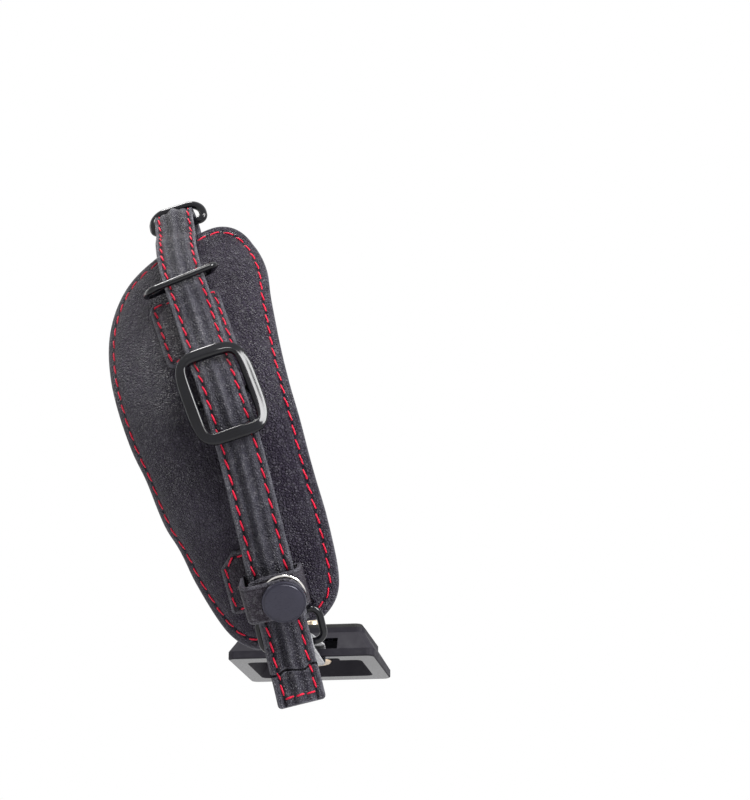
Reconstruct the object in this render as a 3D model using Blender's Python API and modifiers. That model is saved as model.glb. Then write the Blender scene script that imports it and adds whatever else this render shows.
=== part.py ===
"""Padded leather hand strap for a camera, in the arched shape that it has in use.

The row frame's origin lies on the rubber seat of the base plate, which bears on the underside of the
camera. +X points along the lens, +Y from the strap towards the camera's far end, +Z up.
Every length is in millimetres and turned into metres by MM.
"""

import math

import bmesh
import bpy
from mathutils import Matrix, Vector

MM = 0.001
COLLECTION = "camera_wrist_strap"
CUTTERS = "cutters"

# General clearances
GAP = 0.4
SEAM = 0.3

# Line that the strap follows over the back of the hand, from the top ring to the free end,
# measured from the camera screw's axis at the height of the seat
SPINE = (
    (-38.2, -74.0, 138.8),
    (-34.7, -83.0, 129.3),
    (-27.5, -101.0, 101.2),
    (-18.9, -110.0, 77.6),
    (-10.9, -114.0, 56.5),
    (-4.7, -113.5, 39.2),
    (0.5, -109.0, 18.3),
    (4.0, -101.0, 2.3),
    (7.4, -92.0, -15.0),
    (9.2, -88.0, -26.6),
    (12.2, -86.0, -39.8),
)
FACING = 8.0
TWISTS = ((14.0, 16.0), (30.0, 8.0), (75.0, 0.0))
WRIST_RADIUS = 44.0
KNUCKLE_RADIUS = 95.0

# Flat pattern of the pad: across the strap line, then along it
PAD_PATTERN = (
    (-9.0, 30.5),
    (3.0, 23.5),
    (15.0, 19.5),
    (24.5, 25.5),
    (29.5, 42.0),
    (28.5, 62.0),
    (24.0, 95.0),
    (21.6, 120.0),
    (21.6, 147.0),
    (20.0, 168.0),
    (13.0, 176.5),
    (5.0, 177.2),
    (-3.0, 180.8),
    (-11.5, 183.0),
    (-21.5, 176.0),
    (-30.0, 158.5),
    (-36.5, 134.0),
    (-38.7, 108.0),
    (-37.5, 80.5),
    (-32.5, 57.5),
    (-22.0, 40.0),
)
PAD_CENTRE = (-4.0, 104.0)
PAD_LEATHER = 1.2
PAD_FOAM = 3.0
PAD_LINING = 1.0
PAD_CROWN = 1.8
FOAM_REACH = 0.88
PAD_RINGS = (1.0, 0.94, 0.88, 0.72, 0.5, 0.25)
PAD_SIDES = 60

# Leather patches sewn on the pad under the strap
PATCH_LEATHER = 1.0
UPPER_PATCH_TOP = 57.0
UPPER_PATCH_BOTTOM = 84.0
UPPER_PATCH_LEFT = 13.0
UPPER_PATCH_RIGHT = 10.5
LOWER_PATCH_LENGTH = 20.5
LOWER_PATCH_LEFT = 16.0
LOWER_PATCH_RIGHT = 7.0
LOWER_PATCH_CHAMFER = 5.0
PATCH_COLUMNS = 5

# Long strap: a face ply over a back ply, with a filler that raises the middle of the face
STRAP_TOP_WIDTH = 13.4
STRAP_TAIL_WIDTH = 15.4
FACE_PLY = 1.1
BACK_PLY = 1.0
RIDGE_HEIGHT = 0.8
RIDGE_WIDTH = 5.0
STRAP_FOLD = 14.0
RETURN_LENGTH = 56.0
RETURN_GAP = 1.2
TAIL_CORNER = 1.0

# Under strap, from just above the keeper to the lower ring
UNDER_LEATHER = 1.6
UNDER_NARROWER = 1.0
UNDER_TOP = 38.0
UNDER_END = 172.0
UNDER_DRIFT = 1.5
UNDER_DRIFT_START = 145.0
UNDER_WRAP = 200.0

# Length of the long strap below the lower ring
TAIL_LENGTH = 30.5
STRAP_TAIL = UNDER_END + TAIL_LENGTH

# Top ring
TOP_WIRE = 2.8
TOP_RING_CLEAR = 0.9
TOP_RING_LENGTH = 7.6
TOP_RING_CORNER = 5.0
TOP_RING_ACROSS = 0.5
TOP_RING_BEND = 1.7
TOP_RING_LIFT = 20.0

# Wire keeper
KEEPER_WIRE = 2.2
KEEPER_PLACE = 52.0
KEEPER_LEAN = 36.0
KEEPER_OVERHANG = 4.0
KEEPER_SKEW = 14.0
KEEPER_ACROSS = -1.0
KEEPER_CORNER = 2.6

# Slider buckle
BUCKLE_PLACE = 101.5
BUCKLE_ACROSS = -0.3
BUCKLE_WIDTH = 25.0
BUCKLE_LENGTH = 33.5
BUCKLE_BAR = 4.2
BUCKLE_THICKNESS = 3.2
BUCKLE_BULGE = 3.8
BUCKLE_OPENING_BULGE = 9.0
BUCKLE_BOW = 1.2
CENTRE_BAR = 2.4
CENTRE_BAR_FOOT = 1.2
CENTRE_BAR_RISE = 0.7
CENTRE_BAR_FALL = 0.45

# Snap tab and snap fastener
TAB_LEATHER = 1.1
TAB_ABOVE_END = 8.5
TAB_PLACE = UNDER_END - TAB_ABOVE_END
TAB_WIDTH = 13.0
TAB_BACK_REACH = 7.0
TAB_SIDE = 1.9
TAB_END_MARGIN = 0.2
TAB_BEND = 1.6
SNAP_TILT = 12.0
SNAP_ACROSS = 3.0
SNAP_BELOW_TAB = 0.5
SNAP_PLACE = TAB_PLACE + SNAP_BELOW_TAB
CAP_RADIUS = 7.0
CAP_DOME = 1.6
CAP_RIM = 0.9
SHANK_RADIUS = 1.5
SOCKET_RADIUS = 5.6
SOCKET_HEIGHT = 1.7
STUD_DISC_RADIUS = 7.0
STUD_DISC = 0.8
STUD_RADIUS = 2.0
STUD_HEIGHT = 1.3
EYELET_RADIUS = 3.4
EYELET_FLANGE = 0.6

# Lower ring
LOWER_WIRE = 2.4
LOWER_RING_LENGTH = 10.8
LOWER_RING_CORNER = 3.0
LOWER_RING_TILT = 3.0

# Base plate
PLATE_LENGTH = 52.0
PLATE_DEPTH = 46.0
DECK_LENGTH = 44.0
DECK_DEPTH = 39.0
FLANGE_HEIGHT = 2.8
TAPER_HEIGHT = 6.4
DECK_HEIGHT = 1.8
SEAT_RUBBER = 1.5
SEAT_MARGIN = 1.8
SEAT_EDGE = 0.3
PLATE_CORNER = 2.5
PLATE_EDGE = 0.4
RECESS_LENGTH = 41.0
RECESS_DEPTH = 31.0
RECESS_HEIGHT = 6.0
RECESS_CHAMFER = 3.0
RIM_SLOT_LENGTH = 16.0
RIM_SLOT_WIDTH = 4.2
RIM_BAR = 3.6
RIM_SLOT_SHIFT = 5.0
RIM_MOUTH_OVERRUN = 4.0

# Camera screw
SCREW_PLACE = 14.0
SCREW_RADIUS = 3.175
SCREW_STUD = 5.0
SCREW_NECK_RADIUS = 2.5
SCREW_HEAD_RADIUS = 7.4
SCREW_HEAD = 3.4
SCREW_SLOT = 1.6
SCREW_SLOT_DEPTH = 1.2
SCREW_RUNNING = 0.35
CLIP_HEIGHT = 0.8
CLIP_RADIUS = 4.6

# Webbing loop
WEBBING = 1.3
WEBBING_WIDTH = 10.5
WEBBING_SHIFT = 1.5

# Material colours: red, green, blue, then roughness and metallic
LEATHER = ((0.030, 0.031, 0.036), 0.55, 0.0)
LINING = ((0.035, 0.034, 0.036), 0.85, 0.0)
FOAM = ((0.08, 0.08, 0.085), 0.95, 0.0)
BLACK_METAL = ((0.012, 0.012, 0.014), 0.22, 0.6)
CHROME = ((0.75, 0.74, 0.73), 0.15, 1.0)
CAP_METAL = ((0.045, 0.045, 0.052), 0.38, 0.5)
CLOTH = ((0.33, 0.33, 0.36), 0.8, 0.0)
PLASTIC = ((0.018, 0.018, 0.021), 0.35, 0.0)
RUBBER = ((0.02, 0.02, 0.02), 0.8, 0.0)
BRASS = ((0.78, 0.62, 0.42), 0.3, 1.0)


def clear_scene():
    for item in list(bpy.data.objects):
        bpy.data.objects.remove(item, do_unlink=True)


def make_collection(name):
    made = bpy.data.collections.new(name)
    bpy.context.scene.collection.children.link(made)
    return made


def make_material(name, finish):
    colour, roughness, metallic = finish
    made = bpy.data.materials.new(name)
    made.use_nodes = True
    shader = made.node_tree.nodes["Principled BSDF"]
    shader.inputs["Base Color"].default_value = (*colour, 1.0)
    shader.inputs["Roughness"].default_value = roughness
    shader.inputs["Metallic"].default_value = metallic
    made.diffuse_color = (*colour, 1.0)
    return made


def add_object(name, mesh, finish, collection, smooth_angle=40.0):
    made = bpy.data.objects.new(name, mesh)
    collection.objects.link(made)
    if finish is None:
        made.hide_render = True
        made.display_type = "WIRE"
        return made
    mesh.materials.clear()
    mesh.materials.append(make_material(name, finish))
    mesh.shade_smooth()
    mesh.set_sharp_from_angle(angle=math.radians(smooth_angle))
    return made


def mesh_from(name, bm):
    bmesh.ops.recalc_face_normals(bm, faces=bm.faces)
    mesh = bpy.data.meshes.new(name)
    bm.to_mesh(mesh)
    bm.free()
    return mesh


def cut(made, cutter):
    change = made.modifiers.new(cutter.name, "BOOLEAN")
    change.operation = "DIFFERENCE"
    change.solver = "EXACT"
    change.object = cutter


def join(made, other):
    change = made.modifiers.new(other.name, "BOOLEAN")
    change.operation = "UNION"
    change.solver = "EXACT"
    change.object = other


def catmull(points, at, closed=False):
    """Point of a smooth curve through the given points, with `at` counted in spans."""
    count = len(points)
    span = int(math.floor(at))
    part = at - span
    if closed:
        near = [Vector(points[(span + k) % count]) for k in (-1, 0, 1, 2)]
    else:
        span = min(max(span, 0), count - 2)
        part = at - span
        near = [Vector(points[min(max(span + k, 0), count - 1)]) for k in (-1, 0, 1, 2)]
        if span == 0:
            near[0] = 2 * near[1] - near[2]
        if span == count - 2:
            near[3] = 2 * near[2] - near[1]
    a, b, c, d = near
    return 0.5 * (
        2 * b
        + (c - a) * part
        + (2 * a - 5 * b + 4 * c - d) * part ** 2
        + (3 * b - a - 3 * c + d) * part ** 3
    )


class StrapLine:
    """Spine of the strap, read by arc length."""

    STEPS = 24

    def __init__(self, points):
        spans = (len(points) - 1) * self.STEPS
        start = Vector((SCREW_PLACE, 0.0, 0.0))
        self.points = [start + catmull(points, k / self.STEPS) for k in range(spans + 1)]
        self.lengths = [0.0]
        for before, after in zip(self.points, self.points[1:]):
            self.lengths.append(self.lengths[-1] + (after - before).length)

    def at(self, along):
        low = 0
        high = len(self.lengths) - 1
        while high - low > 1:
            middle = (low + high) // 2
            if self.lengths[middle] <= along:
                low = middle
            else:
                high = middle
        share = (along - self.lengths[low]) / (self.lengths[high] - self.lengths[low])
        return self.points[low].lerp(self.points[high], share)

    def frame(self, along, reach=3.0):
        """Directions along the strap, across it and out of the pad."""
        forward = (self.at(along + reach) - self.at(along - reach)).normalized()
        turn = math.radians(FACING)
        facing = Vector((math.cos(turn), math.sin(turn), 0.0))
        across = (facing - facing.dot(forward) * forward).normalized()
        twist = Matrix.Rotation(math.radians(ease(TWISTS, along)), 3, forward)
        across = twist @ across
        return forward, across, forward.cross(across)


LINE = StrapLine(SPINE)


def place(across, along, height):
    """Point at a place on the arched pad, `height` above its outer face."""
    _, side, out = LINE.frame(along)
    radius = WRIST_RADIUS if across < 0 else KNUCKLE_RADIUS
    angle = across / radius
    lean = out * math.cos(angle) + side * math.sin(angle)
    centre = LINE.at(along) - out * radius
    return (centre + lean * (radius + height)) * MM


def flat_place(across, along, height):
    """Point of a strap that stays flat across its width."""
    _, side, out = LINE.frame(along)
    return (LINE.at(along) + side * across + out * height) * MM


def local_matrix(across, along, height, turn=0.0):
    """Placement whose X runs across the strap, Y back up the strap and Z out of the pad."""
    forward, side, out = LINE.frame(along)
    spun = Matrix.Rotation(math.radians(turn), 3, out)
    side = spun @ side
    forward = spun @ forward
    where = flat_place(across, along, height)
    made = Matrix((side, -forward, out)).transposed().to_4x4()
    made.translation = where
    return made


def ease(stations, at):
    """Smooth height through (place, height) stations."""
    if at <= stations[0][0]:
        return stations[0][1]
    for (x0, y0), (x1, y1) in zip(stations, stations[1:]):
        if at <= x1:
            share = (at - x0) / (x1 - x0)
            share = share * share * (3 - 2 * share)
            return y0 + (y1 - y0) * share
    return stations[-1][1]


# Heights of the layers over the pad's outer face
OVER_PATCH = GAP + PATCH_LEATHER + GAP
OVER_KEEPER = GAP + KEEPER_WIRE + GAP
OVER_TAB = OVER_PATCH + TAB_LEATHER + GAP
OVER_RING = GAP + UNDER_LEATHER + GAP + LOWER_WIRE + GAP
UNDER_STACK = UNDER_LEATHER + GAP
LONG_STRAP = BACK_PLY + SEAM + FACE_PLY
CENTRE_LIFT = CENTRE_BAR + GAP
HALF_BUCKLE = (BUCKLE_LENGTH - BUCKLE_BAR) / 2
TAB_START = TAB_PLACE - TAB_WIDTH / 2
TAB_STOP = TAB_PLACE + TAB_WIDTH / 2
LIFT_RUN = 7.0
LOWER_PATCH_BOTTOM = UNDER_END - LOWER_WIRE
LOWER_PATCH_TOP = LOWER_PATCH_BOTTOM - LOWER_PATCH_LENGTH
KEEPER_RUN = 3.5

UNDER_HEIGHTS = (
    (UNDER_TOP, OVER_PATCH),
    (KEEPER_PLACE - KEEPER_RUN, OVER_KEEPER),
    (KEEPER_PLACE + KEEPER_RUN, OVER_KEEPER),
    (KEEPER_PLACE + 10.0, OVER_PATCH),
    (UPPER_PATCH_BOTTOM + 3.0, OVER_PATCH),
    (UPPER_PATCH_BOTTOM + 18.0, 2 * GAP),
    (TAB_START - 14.0, 2 * GAP),
    (TAB_START - 2.0, OVER_TAB),
    (UNDER_END, OVER_RING),
)
STRAP_HEIGHTS = (
    (STRAP_FOLD, GAP),
    (UNDER_TOP - 14.0, GAP),
    (UNDER_TOP - 2.0, OVER_PATCH + UNDER_STACK),
    (KEEPER_PLACE - KEEPER_RUN, OVER_KEEPER + UNDER_STACK),
    (KEEPER_PLACE + KEEPER_RUN, OVER_KEEPER + UNDER_STACK),
    (BUCKLE_PLACE - HALF_BUCKLE, OVER_PATCH + UNDER_STACK),
    (BUCKLE_PLACE - LIFT_RUN * 0.3, OVER_PATCH + UNDER_STACK + CENTRE_LIFT),
    (BUCKLE_PLACE + LIFT_RUN * 0.3, OVER_PATCH + UNDER_STACK + CENTRE_LIFT),
    (BUCKLE_PLACE + HALF_BUCKLE, OVER_PATCH + UNDER_STACK),
    (BUCKLE_PLACE + HALF_BUCKLE + 12.0, 2 * GAP + UNDER_STACK),
    (TAB_START - 14.0, 2 * GAP + UNDER_STACK),
    (TAB_START - 2.0, OVER_TAB + UNDER_STACK),
    (UNDER_END, OVER_RING + UNDER_STACK),
    (STRAP_TAIL, OVER_RING + UNDER_STACK),
)
PAD_BACK = PAD_LEATHER + SEAM + PAD_FOAM + SEAM + PAD_LINING
FOLD_RADIUS = (GAP + PAD_BACK + RETURN_GAP) / 2


def strap_width(along):
    share = (along - STRAP_FOLD) / (STRAP_TAIL - STRAP_FOLD)
    return STRAP_TOP_WIDTH + (STRAP_TAIL_WIDTH - STRAP_TOP_WIDTH) * share


def sweep(name, stations, finish, collection, closed=False, smooth_angle=40.0):
    """Body through like rings of points, capped at both ends unless it closes on itself."""
    bm = bmesh.new()
    rings = [[bm.verts.new(point) for point in ring] for ring in stations]
    count = len(rings[0])
    pairs = list(zip(rings, rings[1:]))
    if closed:
        pairs.append((rings[-1], rings[0]))
    for before, after in pairs:
        for k in range(count):
            n = (k + 1) % count
            bm.faces.new((before[k], before[n], after[n], after[k]))
    if not closed:
        bm.faces.new(reversed(rings[0]))
        bm.faces.new(rings[-1])
    return add_object(name, mesh_from(name, bm), finish, collection, smooth_angle)


def span(start, stop, step):
    count = max(1, math.ceil(abs(stop - start) / step))
    return [start + (stop - start) * k / count for k in range(count + 1)]


def pad_drop(ring):
    """Fall of the pad's outer face towards its edge."""
    return -PAD_CROWN * ring ** 4


def foam_share(ring):
    return max(0.0, 1.0 - (ring / 0.96) ** 6)


def lining_face(ring):
    """Height of the lining's face that meets the foam."""
    loose = SEAM * min(1.0, max(0.0, (1.0 - ring) / (1.0 - FOAM_REACH)))
    return pad_drop(ring) - PAD_LEATHER - SEAM - PAD_FOAM * foam_share(ring) - loose


def pad_point(angle_share, ring, height):
    edge = catmull([(*p, 0.0) for p in PAD_PATTERN], angle_share * len(PAD_PATTERN), closed=True)
    middle = Vector((*PAD_CENTRE, 0.0))
    spot = middle.lerp(edge, ring)
    return place(spot.x, spot.y, height)


def pad_layer(name, rings, top, bottom, finish, collection):
    """Closed layer of the pad, made of rings that shrink to its centre on both faces."""
    bm = bmesh.new()
    faces = []
    for level in (top, bottom):
        loops = []
        for ring in rings:
            loop = [
                bm.verts.new(pad_point(k / PAD_SIDES, ring, level(ring)))
                for k in range(PAD_SIDES)
            ]
            loops.append(loop)
        hub = bm.verts.new(pad_point(0.0, 0.0, level(0.0)))
        faces.append((loops, hub))
    for loops, hub in faces:
        for outer, inner in zip(loops, loops[1:]):
            for k in range(PAD_SIDES):
                n = (k + 1) % PAD_SIDES
                bm.faces.new((outer[k], outer[n], inner[n], inner[k]))
        for k in range(PAD_SIDES):
            bm.faces.new((loops[-1][k], loops[-1][(k + 1) % PAD_SIDES], hub))
    upper = faces[0][0][0]
    lower = faces[1][0][0]
    for k in range(PAD_SIDES):
        n = (k + 1) % PAD_SIDES
        bm.faces.new((upper[k], upper[n], lower[n], lower[k]))
    return add_object(name, mesh_from(name, bm), finish, collection)


def build_pad(collection):
    pad_layer(
        "pad_leather",
        PAD_RINGS,
        pad_drop,
        lambda ring: pad_drop(ring) - PAD_LEATHER,
        LEATHER,
        collection,
    )
    pad_layer(
        "pad_foam",
        [ring for ring in PAD_RINGS if ring <= FOAM_REACH],
        lambda ring: pad_drop(ring) - PAD_LEATHER - SEAM,
        lambda ring: pad_drop(ring) - PAD_LEATHER - SEAM - PAD_FOAM * foam_share(ring),
        FOAM,
        collection,
    )
    pad_layer(
        "pad_lining",
        PAD_RINGS,
        lining_face,
        lambda ring: lining_face(ring) - PAD_LINING,
        LINING,
        collection,
    )


def build_patch(name, top, bottom, left, right, chamfer, collection):
    """Flat patch bent onto the pad, with its upper left corner cut off by `chamfer`."""
    stations = []
    for along in span(top, bottom, 4.0):
        cut_in = max(0.0, chamfer - (along - top))
        low = GAP
        edge = cut_in - left
        columns = [edge + (right - edge) * k / PATCH_COLUMNS for k in range(PATCH_COLUMNS + 1)]
        ring = [place(across, along, low) for across in columns]
        ring += [place(across, along, low + PATCH_LEATHER) for across in reversed(columns)]
        stations.append(ring)
    return sweep(name, stations, LEATHER, collection)


def strap_path():
    """Stations of the long strap's inner face: frame, place along and height, tail to hidden end."""
    path = []
    for along in span(STRAP_TAIL, STRAP_FOLD, 3.0):
        forward, side, out = LINE.frame(along)
        where = LINE.at(along) + out * ease(STRAP_HEIGHTS, along)
        path.append((where, side, out, strap_width(along)))
    forward, side, out = LINE.frame(STRAP_FOLD)
    start = LINE.at(STRAP_FOLD) + out * GAP
    hub = start - out * FOLD_RADIUS
    for turn in span(0.0, 180.0, 22.5)[1:]:
        angle = math.radians(turn)
        lean = out * math.cos(angle) - forward * math.sin(angle)
        path.append((hub + lean * FOLD_RADIUS, side, lean, STRAP_TOP_WIDTH))
    for along in span(STRAP_FOLD, STRAP_FOLD + RETURN_LENGTH, 3.5)[1:]:
        forward, side, out = LINE.frame(along)
        where = LINE.at(along) + out * (GAP - 2 * FOLD_RADIUS)
        path.append((where, side, -out, STRAP_TOP_WIDTH))
    return path


def ply(name, low, thickness, ridge, narrower, collection):
    """One ply of the long strap, `low` above the path, with a raised middle if `ridge` is set."""
    stations = []
    path = strap_path()
    for index, (where, side, out, width) in enumerate(path):
        half = width / 2 - narrower
        if index == 0:
            half -= TAIL_CORNER
        section = [(-half, low), (half, low), (half, low + thickness)]
        if ridge:
            foot = RIDGE_WIDTH / 2
            section += [
                (foot, low + thickness),
                (foot * 0.5, low + thickness + ridge),
                (-foot * 0.5, low + thickness + ridge),
                (-foot, low + thickness),
            ]
        section.append((-half, low + thickness))
        stations.append([(where + side * a + out * b) * MM for a, b in section])
    return sweep(name, stations, LEATHER, collection, smooth_angle=50.0)


def build_long_strap(collection):
    ply("strap_back_ply", 0.0, BACK_PLY, 0.0, 0.2, collection)
    ply("strap_face_ply", BACK_PLY + SEAM, FACE_PLY, RIDGE_HEIGHT, 0.0, collection)


def under_shift(along):
    return ease(((UNDER_DRIFT_START, 0.0), (UNDER_END, UNDER_DRIFT)), along)


def under_height(along):
    return ease(UNDER_HEIGHTS, along)


def lower_ring_centre():
    """Middle of the lower ring's upper bar, where the under strap folds round it."""
    _, side, out = LINE.frame(UNDER_END)
    low = under_height(UNDER_END) - GAP - LOWER_WIRE / 2
    return LINE.at(UNDER_END) + side * under_shift(UNDER_END) + out * low


def build_under_strap(collection):
    """Under strap, whose lower end folds back round the lower ring's bar."""
    stations = []
    for along in span(UNDER_TOP, UNDER_END, 4.0):
        _, side, out = LINE.frame(along)
        half = strap_width(along) / 2 - UNDER_NARROWER
        base = LINE.at(along) + side * under_shift(along) + out * under_height(along)
        section = ((-half, 0.0), (half, 0.0), (half, UNDER_LEATHER), (-half, UNDER_LEATHER))
        stations.append([(base + side * a + out * b) * MM for a, b in section])
    forward, side, out = LINE.frame(UNDER_END)
    hub = lower_ring_centre()
    inner = LOWER_WIRE / 2 + GAP
    outer = inner + UNDER_LEATHER
    half = strap_width(UNDER_END) / 2 - UNDER_NARROWER
    for turn in span(0.0, UNDER_WRAP, 25.0)[1:]:
        angle = math.radians(turn)
        lean = out * math.cos(angle) + forward * math.sin(angle)
        section = ((-half, inner), (half, inner), (half, outer), (-half, outer))
        stations.append([(hub + side * a + lean * b) * MM for a, b in section])
    return sweep("under_strap", stations, LEATHER, collection)


def rounded_outline(width, length, corner, steps=5, low_corner=None):
    """Rounded rectangle about the origin, as a closed list of points."""
    points = []
    for quarter, (sx, sy) in enumerate(((1, 1), (-1, 1), (-1, -1), (1, -1))):
        radius = low_corner if low_corner and sy < 0 else corner
        centre = Vector((sx * (width / 2 - radius), sy * (length / 2 - radius), 0.0))
        for k in range(steps + 1):
            angle = math.radians(90 * quarter + 90 * k / steps)
            points.append(centre + radius * Vector((math.cos(angle), math.sin(angle), 0.0)))
    return points


def wire_loop(name, points, wire, matrix, finish, collection, sides=8):
    """Closed wire along points given in the plane of a placement."""
    count = len(points)
    stations = []
    for k, point in enumerate(points):
        forward = (points[(k + 1) % count] - points[k - 1]).normalized()
        up = Vector((0.0, 0.0, 1.0))
        aside = forward.cross(up)
        ring = []
        for m in range(sides):
            angle = 2 * math.pi * m / sides
            offset = (aside * math.cos(angle) + up * math.sin(angle)) * wire / 2
            ring.append(matrix @ ((point + offset) * MM))
        stations.append(ring)
    return sweep(name, stations, finish, collection, closed=True, smooth_angle=60.0)


def build_top_ring(collection):
    inside = STRAP_TOP_WIDTH + 2 * TOP_RING_CLEAR
    outline = rounded_outline(
        inside + TOP_WIRE, TOP_RING_LENGTH, TOP_RING_CORNER, low_corner=TOP_RING_BEND
    )
    wire_loop("top_ring", outline, TOP_WIRE, top_ring_matrix(), BLACK_METAL, collection)


def top_ring_matrix():
    """Placement of the top ring: Y points from the bar inside the strap's fold to the far bar."""
    forward, side, out = LINE.frame(STRAP_FOLD)
    inset = FOLD_RADIUS - TOP_WIRE / 2 - GAP
    bar = LINE.at(STRAP_FOLD) + out * (GAP - FOLD_RADIUS) - forward * inset
    bar += side * TOP_RING_ACROSS
    lift = math.radians(TOP_RING_LIFT)
    away = out * math.sin(lift) - forward * math.cos(lift)
    made = Matrix((side, away, side.cross(away))).transposed().to_4x4()
    made.translation = (bar + away * TOP_RING_LENGTH / 2) * MM
    return made


def build_keeper(collection):
    """Flat wire loop that holds the long strap down on the under strap."""
    width = strap_width(KEEPER_PLACE) + 2 * KEEPER_OVERHANG + KEEPER_WIRE
    low = GAP + KEEPER_WIRE / 2
    high = OVER_KEEPER + UNDER_STACK + LONG_STRAP + RIDGE_HEIGHT + GAP + KEEPER_WIRE / 2
    lean = math.radians(KEEPER_LEAN)
    outline = rounded_outline(width, (high - low) / math.cos(lean), KEEPER_CORNER, steps=4)
    middle = KEEPER_PLACE + (high - low) / 2 * math.tan(lean)
    matrix = local_matrix(KEEPER_ACROSS, middle, (low + high) / 2, KEEPER_SKEW)
    upright = Matrix.Rotation(math.radians(90.0) + lean, 4, "X")
    wire_loop("wire_keeper", outline, KEEPER_WIRE, matrix @ upright, BLACK_METAL, collection)


def buckle_outline(width, length, bulge, count=40):
    """Pillow shape: a rounded box whose sides bow out, more so for a lower `bulge`."""
    points = []
    for k in range(count):
        angle = 2 * math.pi * k / count
        c = math.cos(angle)
        s = math.sin(angle)
        grow = (abs(c) ** bulge + abs(s) ** bulge) ** (-1.0 / bulge)
        points.append(Vector((width / 2 * c * grow, length / 2 * s * grow, 0.0)))
    return points


def buckle_level():
    """Height of the buckle frame's middle, which clears the strap under its end bars."""
    return OVER_PATCH + UNDER_STACK + LONG_STRAP + RIDGE_HEIGHT + GAP + BUCKLE_THICKNESS / 2


def build_buckle(collection):
    """Cast slider: a bowed frame with a lower centre bar that the long strap rides over."""
    outside = buckle_outline(BUCKLE_WIDTH, BUCKLE_LENGTH, BUCKLE_BULGE)
    opening = buckle_outline(
        BUCKLE_WIDTH - 2 * BUCKLE_BAR, BUCKLE_LENGTH - 2 * BUCKLE_BAR, BUCKLE_OPENING_BULGE
    )
    matrix = local_matrix(BUCKLE_ACROSS, BUCKLE_PLACE, buckle_level())
    half = (BUCKLE_WIDTH - BUCKLE_BAR) / 2
    stations = []
    for outer, inner in zip(outside, opening):
        middle = (outer + inner) / 2
        aside = (outer - inner) / 2
        sink = BUCKLE_BOW * (middle.x / half) ** 2
        ring = []
        for m in range(10):
            angle = 2 * math.pi * m / 10
            rise = math.sin(angle) * BUCKLE_THICKNESS / 2
            local = middle + aside * math.cos(angle) + Vector((0.0, 0.0, rise - sink))
            ring.append(matrix @ (local * MM))
        stations.append(ring)
    frame = sweep("buckle", stations, BLACK_METAL, collection, closed=True, smooth_angle=60.0)
    bar_low = OVER_PATCH + UNDER_STACK + CENTRE_BAR / 2 - buckle_level()
    foot = half - CENTRE_BAR_FOOT
    end = foot - CENTRE_BAR_RISE
    profile = (
        (-half, -BUCKLE_BOW),
        (-foot, bar_low * CENTRE_BAR_FALL),
        (-end, bar_low),
        (end, bar_low),
        (foot, bar_low * CENTRE_BAR_FALL),
        (half, -BUCKLE_BOW),
    )
    up_bar = Vector((0.0, 1.0, 0.0))
    rings = []
    for k, (x, z) in enumerate(profile):
        before = profile[max(k - 1, 0)]
        after = profile[min(k + 1, len(profile) - 1)]
        run = Vector((after[0] - before[0], 0.0, after[1] - before[1])).normalized()
        rise = Vector((-run.z, 0.0, run.x))
        ring = []
        for m in range(8):
            angle = 2 * math.pi * m / 8
            offset = (up_bar * math.cos(angle) + rise * math.sin(angle)) * CENTRE_BAR / 2
            ring.append(matrix @ ((Vector((x, 0.0, z)) + offset) * MM))
        rings.append(ring)
    bar = sweep("buckle_bar", rings, None, bpy.data.collections[CUTTERS])
    join(frame, bar)


def tab_levels():
    """Heights of the tab's three runs: under the straps, over them, and the flap on top."""
    top = LONG_STRAP + RIDGE_HEIGHT + GAP
    tilt = math.sin(math.radians(SNAP_TILT)) * TAB_WIDTH / 2
    over_edge = ease(STRAP_HEIGHTS, TAB_STOP) + top + tilt
    over_middle = ease(STRAP_HEIGHTS, TAB_PLACE) + top + EYELET_FLANGE + SEAM
    back = max(over_edge, over_middle)
    flap = back + TAB_LEATHER + SEAM + STUD_DISC + SEAM + SOCKET_HEIGHT + SEAM
    return OVER_PATCH, back, flap


def snap_frame():
    """Middle of the flap and the directions of the tilted snap: down the strap, across, outwards."""
    forward, side, out = LINE.frame(TAB_PLACE)
    _, _, flap = tab_levels()
    shift = forward * SNAP_BELOW_TAB + out * flap
    centre = LINE.at(TAB_PLACE) + side * SNAP_ACROSS + shift
    spun = Matrix.Rotation(math.radians(SNAP_TILT), 3, side)
    return centre, spun @ forward, side, spun @ out


def tab_point(across, along, height, tilted):
    """Point of the tab, between the straps' own directions and the tilted snap's."""
    flat = flat_place(across, along, height)
    centre, forward, side, out = snap_frame()
    _, _, flap = tab_levels()
    place_in = side * (across - SNAP_ACROSS) + forward * (along - SNAP_PLACE)
    turned_spot = (centre + place_in + out * (height - flap)) * MM
    return flat.lerp(turned_spot, tilted)


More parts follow.
